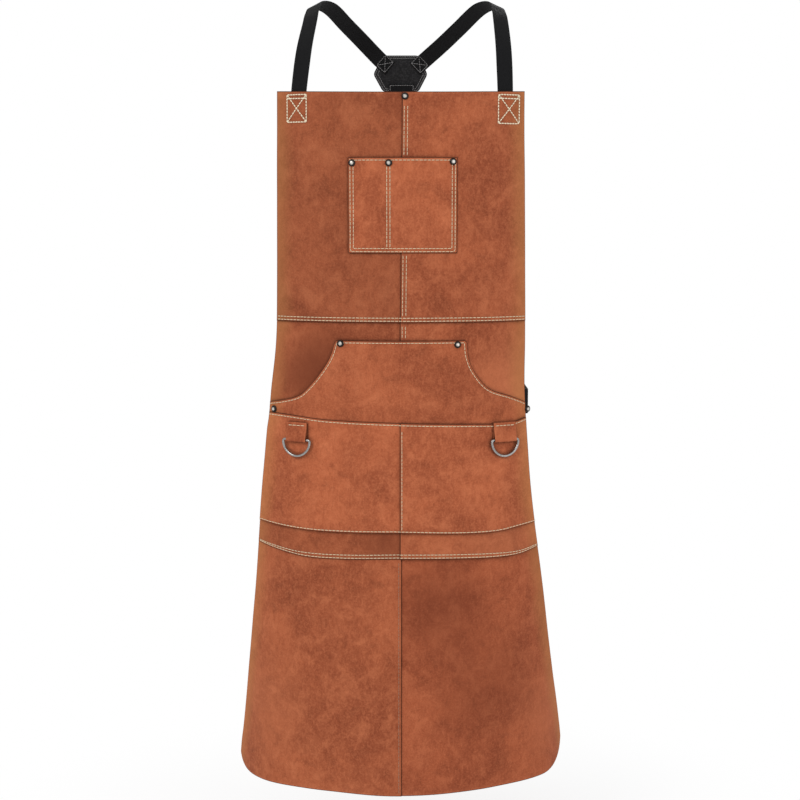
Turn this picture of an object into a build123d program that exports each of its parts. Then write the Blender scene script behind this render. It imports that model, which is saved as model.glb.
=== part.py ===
from build123d import *
import os
from math import asin, cos, degrees, radians, sin

os.makedirs("parts", exist_ok=True)

# Leather welding apron in its worn shape: a two-panel bib, a waist section with a
# kangaroo pocket and a lap overlay, a two-panel skirt, and a webbing harness that
# crosses at a leather patch on the back and runs down to a buckled waist belt.
# Millimetres. +Z is up, the front faces -Y, +X is to the right seen from the front.
# The origin is on the wearer's vertical axis, at the height of the hem.

# ---------------------------------------------------------------- dimensions
LEATHER = 1.4  # thickness of one leather layer
PITCH = 1.5  # spacing of stacked layers, so each keeps a gap of PITCH - LEATHER
WEB = 2.0  # thickness of the webbing

# Plan profile that every leather layer follows: a wide front arc between side arcs
FRONT_Y = -140.0
FRONT_R = 420.0
FRONT_HALF_ANGLE = 16.0
SIDE_R = 202.0
FRONT_CENTRE_Y = FRONT_Y + FRONT_R
SIDE_CENTRE_X = (FRONT_R - SIDE_R) * sin(radians(FRONT_HALF_ANGLE))
SIDE_CENTRE_Y = FRONT_CENTRE_Y - (FRONT_R - SIDE_R) * cos(radians(FRONT_HALF_ANGLE))

# Heights of the seams at the centre of the front
HEM_Z = 0.0
BIB_TOP_Z = 1067.0
WAIST_SEAM_Z = 727.0
POCKET_TOP_Z = 702.0
LAP_TOP_Z = 578.0
LAP_BOTTOM_Z = 411.0
SKIRT_SEAM_Z = 375.0
SEAM_LAP = 24.0  # how far a lower panel runs up behind the one above
SEAM_REACH = 260.0  # front-view half-width at which a seam has its full rise

# Half-widths of the apron in front view, at heights from the hem to the bib top
CORNER_R = 30.0
SIDE_WIDTHS = (
    (HEM_Z + CORNER_R, 256.0),
    (190.0, 238.0),
    (380.0, 217.0),
    (575.0, 197.5),
    (690.0, 189.5),
    (BIB_TOP_Z + 20, 184.5),
)

# Stacking order of the leather, counted outwards
SKIRT_RIGHT, SKIRT_LEFT, WAIST_LEFT, WAIST_RIGHT = -2, -1, 0, 1
BIB_LEFT, BIB_RIGHT, POCKET, CHEST = 2, 3, 2, 4
LAP_LEFT, LAP_RIGHT, TAB = 3, 4, 5

CENTRE_SEAM = 1.5  # x of the free edge at the centre seam
CENTRE_LAP = 12.0  # how far the covered panel runs past it

# Pockets
CHEST_LEFT, CHEST_RIGHT = -76.5, 82.0
CHEST_LOW_Z, CHEST_TOP_Z = 832.0, 972.0
POCKET_TOP_HALF = 96.5
POCKET_SEAM_HIDDEN = 15.0  # pocket bottom hidden under the lap overlay

# Rivets, as front-view x and z, with the outermost and innermost layer offsets
CAP_R, CAP_H, CAP_RIM = 5.0, 2.6, 0.7
CAP_BORE_R, CAP_BORE = 1.95, 1.2
SHANK_R, HOLE_R = 1.9, 2.0
BURR_R, BURR_H = 4.0, 0.8
GAP = 0.1
TOP_RIVET = (6.0, 1060.5)
CHEST_RIVETS = ((-70.5, 964.0), (-17.5, 964.0), (75.5, 966.0))
POCKET_RIVETS = ((-89.0, 697.5), (83.5, 696.0))
SIDE_RIVETS = ((-190.0, 594.0), (190.0, 594.0))

# Tool rings and their tabs
TAB_X, TAB_W, TAB_TOP_Z = 152.5, 36.0, 577.0
RING_Z, RING_WIRE_R, RING_BAR_HALF, RING_DROP = 551.0, 2.0, 23.0, 25.0
RING_CLEAR, RING_CORNER = 0.05, 4.0

# Harness webbing
STRAP_W, TAIL_W, BELT_W = 25.0, 40.0, 38.0
BACK_Y = 129.0  # mid-thickness of the shoulder straps on the back patch
BELT_Z, BELT_Y = 605.0, 139.0  # centre height, and mid-thickness across the back
PATCH_LOW_Z, PATCH_MID_Z, PATCH_TOP_Z = 1083.0, 1112.5, 1142.0
PATCH_HALF, PATCH_SHORT_HALF = 45.0, 29.0

# Shoulder strap on the +X side: points on its centre line, each with the
# direction that its width runs in there
STRAP_PATH = (
    ((152.8, -110.2, 1020.0), (0.889, 0.457, 0.0)),
    ((152.8, -110.2, 1050.0), (0.889, 0.457, 0.0)),
    ((152.5, -109.0, 1080.0), (0.889, 0.457, 0.0)),
    ((147.5, -94.0, 1132.0), (0.90, 0.40, -0.1)),
    ((142.5, -60.0, 1178.0), (0.92, 0.30, -0.28)),
    ((134.5, -10.0, 1204.0), (0.84, 0.28, -0.48)),
    ((113.0, 40.0, 1200.0), (0.80, 0.25, -0.55)),
    ((88.0, 81.0, 1184.0), (0.76, 0.15, -0.64)),
    ((65.0, 109.5, 1164.5), (0.72, 0.08, -0.70)),
    ((44.0, 126.5, 1144.5), (0.71, 0.0, -0.71)),
    ((32.0, BACK_Y, 1133.0), (0.71, 0.0, -0.71)),
    ((20.5, BACK_Y, 1121.5), (0.71, 0.0, -0.71)),
)


# ------------------------------------------------------------------- helpers
def wrap_angle(x):
    """Angle in degrees of the surface normal at front-view position x."""
    if abs(x) <= FRONT_R * sin(radians(FRONT_HALF_ANGLE)):
        return degrees(asin(x / FRONT_R))
    side = degrees(asin((abs(x) - SIDE_CENTRE_X) / SIDE_R))
    return side if x > 0 else -side


def wrap_point(angle, offset):
    """Plan point at a normal angle, moved outwards by offset."""
    if abs(angle) <= FRONT_HALF_ANGLE:
        centre_x, centre_y, radius = 0.0, FRONT_CENTRE_Y, FRONT_R
    else:
        centre_x = SIDE_CENTRE_X if angle > 0 else -SIDE_CENTRE_X
        centre_y, radius = SIDE_CENTRE_Y, SIDE_R
    reach = radius + offset
    return (centre_x + reach * sin(radians(angle)), centre_y - reach * cos(radians(angle)))


def wrap_arcs(offset, start, end):
    """Arcs of the plan profile between two normal angles, moved out by offset."""
    spans = (
        (-90.0, -FRONT_HALF_ANGLE, -SIDE_CENTRE_X, SIDE_CENTRE_Y, SIDE_R),
        (-FRONT_HALF_ANGLE, FRONT_HALF_ANGLE, 0.0, FRONT_CENTRE_Y, FRONT_R),
        (FRONT_HALF_ANGLE, 90.0, SIDE_CENTRE_X, SIDE_CENTRE_Y, SIDE_R),
    )
    arcs = []
    for low, high, x, y, radius in spans:
        first = max(low, start)
        last = min(high, end)
        if last > first:
            arcs.append(CenterArc((x, y), radius + offset, first - 90, last - first))
    return arcs


def plan_strip(layer, x_start, x_end):
    """Plan section of one leather layer between two front-view positions."""
    inner = layer * PITCH
    outer = inner + LEATHER
    start = wrap_angle(x_start)
    end = wrap_angle(x_end)
    with BuildSketch() as strip:
        with BuildLine():
            add(wrap_arcs(inner, start, end))
            add(wrap_arcs(outer, start, end))
            Line(wrap_point(start, inner), wrap_point(start, outer))
            Line(wrap_point(end, inner), wrap_point(end, outer))
        make_face()
    return strip.sketch


def band(low_z, low_rise, top_z, top_rise):
    """Front-view band between two seams that rise towards the sides."""
    with BuildSketch() as face:
        with BuildLine():
            low_l = (-SEAM_REACH, low_z + low_rise)
            low_r = (SEAM_REACH, low_z + low_rise)
            top_l = (-SEAM_REACH, top_z + top_rise)
            top_r = (SEAM_REACH, top_z + top_rise)
            if low_rise:
                ThreePointArc(low_l, (0, low_z), low_r)
            else:
                Line(low_l, low_r)
            if top_rise:
                ThreePointArc(top_l, (0, top_z), top_r)
            else:
                Line(top_l, top_r)
            Line(low_l, top_l)
            Line(low_r, top_r)
        make_face()
    return face.sketch


def side_section(z, half_angle):
    """Plan region between the surface normals at the two side edges."""
    inner_x, inner_y = wrap_point(half_angle, -25.0)
    outer_x, outer_y = wrap_point(half_angle, 25.0)
    front_y = FRONT_Y - 60.0
    with BuildSketch(Plane.XY.offset(z)) as region:
        with BuildLine():
            Polyline(
                (inner_x, inner_y),
                (outer_x, outer_y),
                (outer_x, front_y),
                (-outer_x, front_y),
                (-outer_x, outer_y),
                (-inner_x, inner_y),
                close=True,
            )
        make_face()
    return region.sketch


def apron_sides():
    """Solid whose sides cut the leather square to its surface at the side edges."""
    hem_angle = wrap_angle(SIDE_WIDTHS[0][1])
    corner = degrees(CORNER_R / SIDE_R)
    sections = []
    for turn in (90, 60, 30):
        z = HEM_Z + CORNER_R * (1 - sin(radians(turn)))
        sections.append(side_section(z, hem_angle - corner * (1 - cos(radians(turn)))))
    for z, half in SIDE_WIDTHS:
        sections.append(side_section(z, wrap_angle(half)))
    with BuildPart() as sides:
        loft(sections, ruled=True)
    return sides.part


def surface_plane(x, z, offset=0.0):
    """Plane on the leather at a front-view point: x along the cloth, z outwards."""
    angle = wrap_angle(x)
    px, py = wrap_point(angle, offset)
    along = (cos(radians(angle)), sin(radians(angle)), 0)
    outwards = (sin(radians(angle)), -cos(radians(angle)), 0)
    return Plane(origin=(px, py, z), x_dir=along, z_dir=outwards)


def strap_sections(path, side):
    """Webbing cross-sections along a path, mirrored in X when side is -1."""
    sections = []
    points = [Vector(side * p[0], p[1], p[2]) for p, _ in path]
    for i, (_, width_dir) in enumerate(path):
        before = points[max(i - 1, 0)]
        after = points[min(i + 1, len(points) - 1)]
        across = (side * width_dir[0], width_dir[1], width_dir[2])
        with BuildSketch(Plane(origin=points[i], x_dir=across, z_dir=after - before)) as cut:
            Rectangle(STRAP_W, WEB)
        sections.append(cut.sketch)
    return sections


SIDES = apron_sides()
EDGE_X = 255.0  # strips run this far in front view before the sides are cut
TRIM = Plane.XZ.offset(-60)  # front-view outlines are drawn here, behind the leather
DEEP = 240.0  # depth of the prisms that trim a panel in front view
SPARE = 5.0  # extra height of a strip beyond the seam that trims it
HOLE_CUT = 12.0  # half-length of a rivet hole's cut


# ------------------------------------------------------------- leather panels
# Skirt: the left panel laps over the right one at the centre seam
SKIRT_TOP_Z = SKIRT_SEAM_Z + SEAM_LAP
SKIRT_RISE = 19.0
SKIRT_FACE = band(HEM_Z - 1, 0, SKIRT_TOP_Z, SKIRT_RISE)

with BuildPart() as skirt_panel_left:
    with BuildSketch(Plane.XY.offset(HEM_Z)):
        add(plan_strip(SKIRT_LEFT, -EDGE_X, CENTRE_SEAM))
    extrude(amount=SKIRT_TOP_Z + SKIRT_RISE + SPARE)
    add(SIDES, mode=Mode.INTERSECT)
    with BuildSketch(TRIM):
        add(SKIRT_FACE)
    extrude(amount=DEEP, mode=Mode.INTERSECT)

skirt_panel_left.part.label = "skirt_panel_left"
export_step(skirt_panel_left.part, "parts/skirt_panel_left.step")

with BuildPart() as skirt_panel_right:
    with BuildSketch(Plane.XY.offset(HEM_Z)):
        add(plan_strip(SKIRT_RIGHT, -CENTRE_LAP, EDGE_X))
    extrude(amount=SKIRT_TOP_Z + SKIRT_RISE + SPARE)
    add(SIDES, mode=Mode.INTERSECT)
    with BuildSketch(TRIM):
        add(SKIRT_FACE)
    extrude(amount=DEEP, mode=Mode.INTERSECT)

skirt_panel_right.part.label = "skirt_panel_right"
export_step(skirt_panel_right.part, "parts/skirt_panel_right.step")

# Waist: laps over the skirt below and runs up behind the bib
WAIST_FACE = band(SKIRT_SEAM_Z, SKIRT_RISE, WAIST_SEAM_Z + SEAM_LAP, 0)

with BuildPart() as waist_panel_left:
    with BuildSketch(Plane.XY.offset(SKIRT_SEAM_Z - SPARE)):
        add(plan_strip(WAIST_LEFT, -EDGE_X, CENTRE_LAP))
    extrude(amount=WAIST_SEAM_Z + SEAM_LAP - SKIRT_SEAM_Z + 2 * SPARE)
    add(SIDES, mode=Mode.INTERSECT)
    with BuildSketch(TRIM):
        add(WAIST_FACE)
    extrude(amount=DEEP, mode=Mode.INTERSECT)
    for spot in (SIDE_RIVETS[0], POCKET_RIVETS[0]):
        with BuildSketch(surface_plane(*spot)):
            Circle(HOLE_R)
        extrude(amount=HOLE_CUT, both=True, mode=Mode.SUBTRACT)

waist_panel_left.part.label = "waist_panel_left"
export_step(waist_panel_left.part, "parts/waist_panel_left.step")

with BuildPart() as waist_panel_right:
    with BuildSketch(Plane.XY.offset(SKIRT_SEAM_Z - SPARE)):
        add(plan_strip(WAIST_RIGHT, -CENTRE_SEAM, EDGE_X))
    extrude(amount=WAIST_SEAM_Z + SEAM_LAP - SKIRT_SEAM_Z + 2 * SPARE)
    add(SIDES, mode=Mode.INTERSECT)
    with BuildSketch(TRIM):
        add(WAIST_FACE)
    extrude(amount=DEEP, mode=Mode.INTERSECT)
    for spot in (SIDE_RIVETS[1], POCKET_RIVETS[1]):
        with BuildSketch(surface_plane(*spot)):
            Circle(HOLE_R)
        extrude(amount=HOLE_CUT, both=True, mode=Mode.SUBTRACT)

waist_panel_right.part.label = "waist_panel_right"
export_step(waist_panel_right.part, "parts/waist_panel_right.step")

# Bib: the right panel laps over the left one, and both lap over the waist
BIB_FACE = band(WAIST_SEAM_Z, 0, BIB_TOP_Z, 0)

with BuildPart() as bib_panel_left:
    with BuildSketch(Plane.XY.offset(WAIST_SEAM_Z - SPARE)):
        add(plan_strip(BIB_LEFT, -EDGE_X, CENTRE_LAP))
    extrude(amount=BIB_TOP_Z - WAIST_SEAM_Z + 2 * SPARE)
    add(SIDES, mode=Mode.INTERSECT)
    with BuildSketch(TRIM):
        add(BIB_FACE)
    extrude(amount=DEEP, mode=Mode.INTERSECT)
    for spot in (TOP_RIVET, CHEST_RIVETS[0], CHEST_RIVETS[1]):
        with BuildSketch(surface_plane(*spot)):
            Circle(HOLE_R)
        extrude(amount=HOLE_CUT, both=True, mode=Mode.SUBTRACT)

bib_panel_left.part.label = "bib_panel_left"
export_step(bib_panel_left.part, "parts/bib_panel_left.step")

with BuildPart() as bib_panel_right:
    with BuildSketch(Plane.XY.offset(WAIST_SEAM_Z - SPARE)):
        add(plan_strip(BIB_RIGHT, -CENTRE_SEAM, EDGE_X))
    extrude(amount=BIB_TOP_Z - WAIST_SEAM_Z + 2 * SPARE)
    add(SIDES, mode=Mode.INTERSECT)
    with BuildSketch(TRIM):
        add(BIB_FACE)
    extrude(amount=DEEP, mode=Mode.INTERSECT)
    for spot in (TOP_RIVET, CHEST_RIVETS[2]):
        with BuildSketch(surface_plane(*spot)):
            Circle(HOLE_R)
        extrude(amount=HOLE_CUT, both=True, mode=Mode.SUBTRACT)

bib_panel_right.part.label = "bib_panel_right"
export_step(bib_panel_right.part, "parts/bib_panel_right.step")

# Chest pocket: open at the top, sewn round its sides and bottom
with BuildPart() as chest_pocket:
    with BuildSketch(Plane.XY.offset(CHEST_LOW_Z)):
        add(plan_strip(CHEST, CHEST_LEFT, CHEST_RIGHT))
    extrude(amount=CHEST_TOP_Z - CHEST_LOW_Z)
    for spot in CHEST_RIVETS:
        with BuildSketch(surface_plane(*spot)):
            Circle(HOLE_R)
        extrude(amount=HOLE_CUT, both=True, mode=Mode.SUBTRACT)

chest_pocket.part.label = "chest_pocket"
export_step(chest_pocket.part, "parts/chest_pocket.step")

# Kangaroo pocket: hands enter through the curved openings at its sides
POCKET_LOW_Z = LAP_TOP_Z - POCKET_SEAM_HIDDEN
OPENING_CURVE = ((112.0, 650.0), (128.5, 629.5), (151.0, 615.5), (175.0, 607.5), (205.0, 600.0))

with BuildPart() as kangaroo_pocket:
    with BuildSketch(Plane.XY.offset(POCKET_LOW_Z - SPARE)):
        add(plan_strip(POCKET, -EDGE_X, EDGE_X))
    extrude(amount=POCKET_TOP_Z - POCKET_LOW_Z + 2 * SPARE)
    add(SIDES, mode=Mode.INTERSECT)
    with BuildSketch(TRIM):
        with BuildLine():
            corner = (POCKET_TOP_HALF, POCKET_TOP_Z)
            curve = Spline(corner, *OPENING_CURVE)
            mirror(curve, about=Plane.YZ)
            Line((-POCKET_TOP_HALF, POCKET_TOP_Z), corner)
            end_x, end_z = OPENING_CURVE[-1]
            Polyline((end_x, end_z), (end_x, POCKET_LOW_Z), (-end_x, POCKET_LOW_Z), (-end_x, end_z))
        make_face()
    extrude(amount=DEEP, mode=Mode.INTERSECT)
    for spot in POCKET_RIVETS + SIDE_RIVETS:
        with BuildSketch(surface_plane(*spot)):
            Circle(HOLE_R)
        extrude(amount=HOLE_CUT, both=True, mode=Mode.SUBTRACT)

kangaroo_pocket.part.label = "kangaroo_pocket"
export_step(kangaroo_pocket.part, "parts/kangaroo_pocket.step")

# Lap overlay: a second layer over the lap, whose top edge closes the pocket
LAP_BOTTOM_RISE, LAP_TOP_RISE = 11.0, 18.0
LAP_FACE = band(LAP_BOTTOM_Z, LAP_BOTTOM_RISE, LAP_TOP_Z, LAP_TOP_RISE)
LAP_HEIGHT = LAP_TOP_Z + LAP_TOP_RISE - LAP_BOTTOM_Z + 2 * SPARE

with BuildPart() as lap_panel_left:
    with BuildSketch(Plane.XY.offset(LAP_BOTTOM_Z - SPARE)):
        add(plan_strip(LAP_LEFT, -EDGE_X, CENTRE_LAP))
    extrude(amount=LAP_HEIGHT)
    add(SIDES, mode=Mode.INTERSECT)
    with BuildSketch(TRIM):
        add(LAP_FACE)
    extrude(amount=DEEP, mode=Mode.INTERSECT)

lap_panel_left.part.label = "lap_panel_left"
export_step(lap_panel_left.part, "parts/lap_panel_left.step")

with BuildPart() as lap_panel_right:
    with BuildSketch(Plane.XY.offset(LAP_BOTTOM_Z - SPARE)):
        add(plan_strip(LAP_RIGHT, -CENTRE_SEAM, EDGE_X))
    extrude(amount=LAP_HEIGHT)
    add(SIDES, mode=Mode.INTERSECT)
    with BuildSketch(TRIM):
        add(LAP_FACE)
    extrude(amount=DEEP, mode=Mode.INTERSECT)

lap_panel_right.part.label = "lap_panel_right"
export_step(lap_panel_right.part, "parts/lap_panel_right.step")


# ------------------------------------------------------- ring tabs and rings
BAR_HOLE_R = RING_WIRE_R + RING_CLEAR
TAB_BACK = TAB * PITCH  # the tab's back face, just clear of the lap overlay
BAR_OFFSET = TAB_BACK + LEATHER + BAR_HOLE_R


def tab_solid(x):
    """Folded leather tab with its closed end wrapped round the ring's bar."""
    # In this plane x runs outwards from the cloth and y runs up
    base = surface_plane(x, 0)
    side_on = Plane(origin=base.origin, x_dir=base.z_dir, z_dir=-base.x_dir)
    with BuildPart() as tab:
        with BuildSketch(side_on):
            with Locations((BAR_OFFSET, RING_Z)):
                loop = Circle(BAR_HOLE_R + LEATHER)
            with Locations((TAB_BACK + LEATHER, TAB_TOP_Z - 6)):
                leaves = Rectangle(2 * LEATHER, 12)
            make_hull(loop.edges() + leaves.edges())
            with Locations((BAR_OFFSET, RING_Z)):
                Circle(BAR_HOLE_R, mode=Mode.SUBTRACT)
        extrude(amount=TAB_W / 2, both=True)
    return tab.part


with BuildPart() as ring_tab_left:
    add(tab_solid(-TAB_X))

ring_tab_left.part.label = "ring_tab_left"
export_step(ring_tab_left.part, "parts/ring_tab_left.step")

with BuildPart() as ring_tab_right:
    add(tab_solid(TAB_X))

ring_tab_right.part.label = "ring_tab_right"
export_step(ring_tab_right.part, "parts/ring_tab_right.step")

with BuildPart() as tool_ring_left:
    with BuildLine(surface_plane(-TAB_X, RING_Z, BAR_OFFSET)) as ring_path_left:
        bar = Line((-RING_BAR_HALF, 0), (RING_BAR_HALF, 0))
        ThreePointArc(bar @ 0, (0, -RING_DROP), bar @ 1)
        fillet(ring_path_left.vertices(), RING_CORNER)
    ring_wire = ring_path_left.wires()[0]
    with BuildSketch(Plane(origin=ring_wire @ 0, z_dir=ring_wire % 0)):
        Circle(RING_WIRE_R)
    sweep(path=ring_wire)

tool_ring_left.part.label = "tool_ring_left"
export_step(tool_ring_left.part, "parts/tool_ring_left.step")

with BuildPart() as tool_ring_right:
    with BuildLine(surface_plane(TAB_X, RING_Z, BAR_OFFSET)) as ring_path_right:
        bar = Line((-RING_BAR_HALF, 0), (RING_BAR_HALF, 0))
        ThreePointArc(bar @ 0, (0, -RING_DROP), bar @ 1)
        fillet(ring_path_right.vertices(), RING_CORNER)
    ring_wire = ring_path_right.wires()[0]
    with BuildSketch(Plane(origin=ring_wire @ 0, z_dir=ring_wire % 0)):
        Circle(RING_WIRE_R)
    sweep(path=ring_wire)

tool_ring_right.part.label = "tool_ring_right"
export_step(tool_ring_right.part, "parts/tool_ring_right.step")


# --------------------------------------------------------------------- rivets
# Each rivet's spot, outermost leather offset, and innermost offset
LEATHER_OUT = {2: 2 * PITCH + LEATHER, 3: 3 * PITCH + LEATHER, 4: 4 * PITCH + LEATHER}
BELT_IN = -GAP - WEB
RIVETS = (
    (TOP_RIVET, LEATHER_OUT[BIB_RIGHT], BIB_LEFT * PITCH),
    (CHEST_RIVETS[0], LEATHER_OUT[CHEST], BIB_LEFT * PITCH),
    (CHEST_RIVETS[1], LEATHER_OUT[CHEST], BIB_LEFT * PITCH),
    (CHEST_RIVETS[2], LEATHER_OUT[CHEST], BIB_RIGHT * PITCH),
    (POCKET_RIVETS[0], LEATHER_OUT[POCKET], WAIST_LEFT * PITCH),
    (POCKET_RIVETS[1], LEATHER_OUT[POCKET], WAIST_RIGHT * PITCH),
    (SIDE_RIVETS[0], LEATHER_OUT[POCKET], BELT_IN),
    (SIDE_RIVETS[1], LEATHER_OUT[POCKET], BELT_IN),
)

# One domed cap with a blind bore for the shank
with BuildPart() as cap_blank:
    with BuildSketch(Plane.XZ):
        with BuildLine():
            Polyline(
                (0, CAP_H),
                (0, CAP_BORE),
                (CAP_BORE_R, CAP_BORE),
                (CAP_BORE_R, 0),
                (CAP_R, 0),
                (CAP_R, CAP_RIM),
            )
            TangentArc((0, CAP_H), (CAP_R, CAP_RIM), tangent=(1, 0))
        make_face()
    revolve(axis=Axis.Z)

with BuildPart() as rivet_caps:
    for (x, z), outer, inner in RIVETS:
        add(surface_plane(x, z, outer + GAP) * cap_blank.part, clean=False)

rivet_caps.part.label = "rivet_caps"
export_step(rivet_caps.part, "parts/rivet_caps.step")

with BuildPart() as rivet_studs:
    for (x, z), outer, inner in RIVETS:
        foot = inner - 2 * GAP
        with BuildSketch(surface_plane(x, z, foot)):
            Circle(BURR_R)
        extrude(amount=-BURR_H)
        with BuildSketch(surface_plane(x, z, foot)):
            Circle(SHANK_R)
        extrude(amount=outer + CAP_BORE - foot)

rivet_studs.part.label = "rivet_studs"
export_step(rivet_studs.part, "parts/rivet_studs.step")


# -------------------------------------------------------------------- harness
with BuildPart() as shoulder_strap_left:
    loft(strap_sections(STRAP_PATH, -1))

shoulder_strap_left.part.label = "shoulder_strap_left"
export_step(shoulder_strap_left.part, "parts/shoulder_strap_left.step")

with BuildPart() as shoulder_strap_right:
    loft(strap_sections(STRAP_PATH, 1))

shoulder_strap_right.part.label = "shoulder_strap_right"
export_step(shoulder_strap_right.part, "parts/shoulder_strap_right.step")

# Hexagonal leather patch behind the strap ends
with BuildPart() as back_patch:
    with BuildSketch(Plane.XZ.offset(-(BACK_Y + WEB / 2 + GAP))):
        with BuildLine():
            Polyline(
                (-PATCH_HALF, PATCH_MID_Z),
                (-PATCH_SHORT_HALF, PATCH_LOW_Z),
                (PATCH_SHORT_HALF, PATCH_LOW_Z),
                (PATCH_HALF, PATCH_MID_Z),
                (PATCH_SHORT_HALF, PATCH_TOP_Z),
                (-PATCH_SHORT_HALF, PATCH_TOP_Z),
                close=True,
            )
        make_face()
    extrude(amount=-LEATHER)

back_patch.part.label = "back_patch"
export_step(back_patch.part, "parts/back_patch.step")

# Tail strap: from the patch down to the waist belt, under it and back up to
# the slider, so the belt hangs in its loop
TAIL_Y = 136.7
TAIL_STEP = WEB + 0.2  # spacing of two leaves that lie together
BELT_STACK_Y = BELT_Y + TAIL_STEP / 2  # middle of the doubled waist belt
TAIL_OUTER_Y = 2 * BELT_STACK_Y - TAIL_Y
TAIL_TURN_Z = BELT_Z - BELT_W / 2 - 3.0
TAIL_FOLD_Z, TAIL_JOIN_Z, TAIL_END_Z = 645.0, 681.0, 792.0
TAIL_TOP_Z = 1097.0

with BuildPart() as tail_strap:
    with BuildSketch(Plane.YZ):
        with BuildLine() as tail_path:
            down = FilletPolyline(
                (BACK_Y, TAIL_TOP_Z),
                (BACK_Y, PATCH_LOW_Z - 20),
                (TAIL_Y, PATCH_LOW_Z - 90),
                (TAIL_Y, TAIL_TURN_Z),
                radius=60,
            )
            turn_r = (TAIL_OUTER_Y - TAIL_Y) / 2
            turn = ThreePointArc(
                (TAIL_Y, TAIL_TURN_Z),
                (BELT_STACK_Y, TAIL_TURN_Z - turn_r),
                (TAIL_OUTER_Y, TAIL_TURN_Z),
            )
            FilletPolyline(
                (TAIL_OUTER_Y, TAIL_TURN_Z),
                (TAIL_OUTER_Y, TAIL_FOLD_Z),
                (TAIL_Y + TAIL_STEP, TAIL_JOIN_Z),
                (TAIL_Y + TAIL_STEP, TAIL_END_Z),
                radius=20,
            )
            offset(amount=WEB / 2, side=Side.BOTH)
        make_face()
    extrude(amount=TAIL_W / 2, both=True)

tail_strap.part.label = "tail_strap"
export_step(tail_strap.part, "parts/tail_strap.step")


# ----------------------------------------------------------------- waist belt
BELT_START_ANGLE, BELT_END_ANGLE = 33.0, 41.0
BELT_BEND_R, BELT_CORNER_R = 5.0, 60.0
BELT_LOW_Z = BELT_Z - BELT_W / 2
SOCKET_MOUTH_X, SOCKET_BACK_X, SOCKET_BAR_X = -88.0, -50.0, -44.0
PLUG_FACE_X, PLUG_BACK_X, PLUG_BAR_X = -88.4, -103.0, -111.0
BAR_R, BAR_HOLE = 1.5, 1.6
RETURN_END_X = 66.0
PLUG_LEAF = 22.0  # length of the left belt's sewn return leaf


def belt_plan(end_x, bar_x, side, leaf_end_x):
    """Plan section of a waist belt half, from its rivet to a sewn bar loop."""
    face_r = SIDE_R - GAP - WEB / 2
    toward = 1 if side > 0 else -1
    with BuildSketch() as plan:
        with BuildLine():
            start = CenterArc(
                (SIDE_CENTRE_X, SIDE_CENTRE_Y),
                face_r,
                BELT_START_ANGLE - 90,
                BELT_END_ANGLE - BELT_START_ANGLE,
            )
            bend = JernArc(start @ 1, start % 1, BELT_BEND_R, 90 - BELT_END_ANGLE)
            run_y = BELT_Y - BELT_CORNER_R
            run = Line(bend @ 1, ((bend @ 1).X, run_y))
            corner = JernArc(run @ 1, run % 1, BELT_CORNER_R, 90)
            Line(corner @ 1, (toward * end_x, BELT_Y))
            offset(amount=WEB / 2, side=Side.BOTH)
        make_face()
        # The web turns round the bar and is sewn back on itself
        fold_x = toward * bar_x + 8
        with BuildSketch(mode=Mode.ADD):
            with Locations((toward * bar_x, BELT_STACK_Y)):
                loop = Circle(BAR_HOLE + WEB)
            with Locations((fold_x + 3, BELT_STACK_Y)):
                leaves = Rectangle(6, WEB + TAIL_STEP)
            make_hull(loop.edges() + leaves.edges())
            with Locations((toward * bar_x, BELT_STACK_Y)):
                Circle(BAR_HOLE, mode=Mode.SUBTRACT)
        with Locations(((fold_x + toward * leaf_end_x) / 2, BELT_STACK_Y + TAIL_STEP / 2)):
            Rectangle(abs(toward * leaf_end_x - fold_x), WEB)
        if side < 0:
            mirror(about=Plane.YZ, mode=Mode.REPLACE)
    return plan.sketch


with BuildPart() as waist_belt_right:
    with BuildSketch(Plane.XY.offset(BELT_LOW_Z)):
        add(belt_plan(SOCKET_BAR_X + 8, SOCKET_BAR_X, 1, RETURN_END_X))
    extrude(amount=BELT_W)
    with BuildSketch(surface_plane(*SIDE_RIVETS[1])):
        Circle(HOLE_R)
    extrude(amount=HOLE_CUT, both=True, mode=Mode.SUBTRACT)

waist_belt_right.part.label = "waist_belt_right"
export_step(waist_belt_right.part, "parts/waist_belt_right.step")

with BuildPart() as waist_belt_left:
    with BuildSketch(Plane.XY.offset(BELT_LOW_Z)):
        add(belt_plan(PLUG_BAR_X - 8, PLUG_BAR_X, -1, PLUG_BAR_X - PLUG_LEAF))
    extrude(amount=BELT_W)
    with BuildSketch(surface_plane(*SIDE_RIVETS[0])):
        Circle(HOLE_R)
    extrude(amount=HOLE_CUT, both=True, mode=Mode.SUBTRACT)

waist_belt_left.part.label = "waist_belt_left"
export_step(waist_belt_left.part, "parts/waist_belt_left.step")

# Side-release buckle. Sizes are given as half-heights and half-thicknesses.
BUCKLE_HALF_H, BUCKLE_HALF_T = 23.5, 5.5
CAVITY_HALF_H, CAVITY_HALF_T = 19.0, 3.0
WINDOW_X0, WINDOW_X1 = -76.0, -60.0
RAIL_IN, RAIL_OUT, RAIL_HALF_T = 20.0, 23.5, 2.5


def block(x0, x1, half_t, half_h, z=0.0):
    """Plain block along the belt between two x positions."""
    with BuildPart() as solid:
        with Locations(((x0 + x1) / 2, BELT_STACK_Y, BELT_Z + z)):
            Box(abs(x1 - x0), 2 * half_t, 2 * half_h)
    return solid.part


RAIL_HALF_H = (RAIL_OUT - RAIL_IN) / 2
RAIL_MID = (RAIL_OUT + RAIL_IN) / 2

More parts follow.
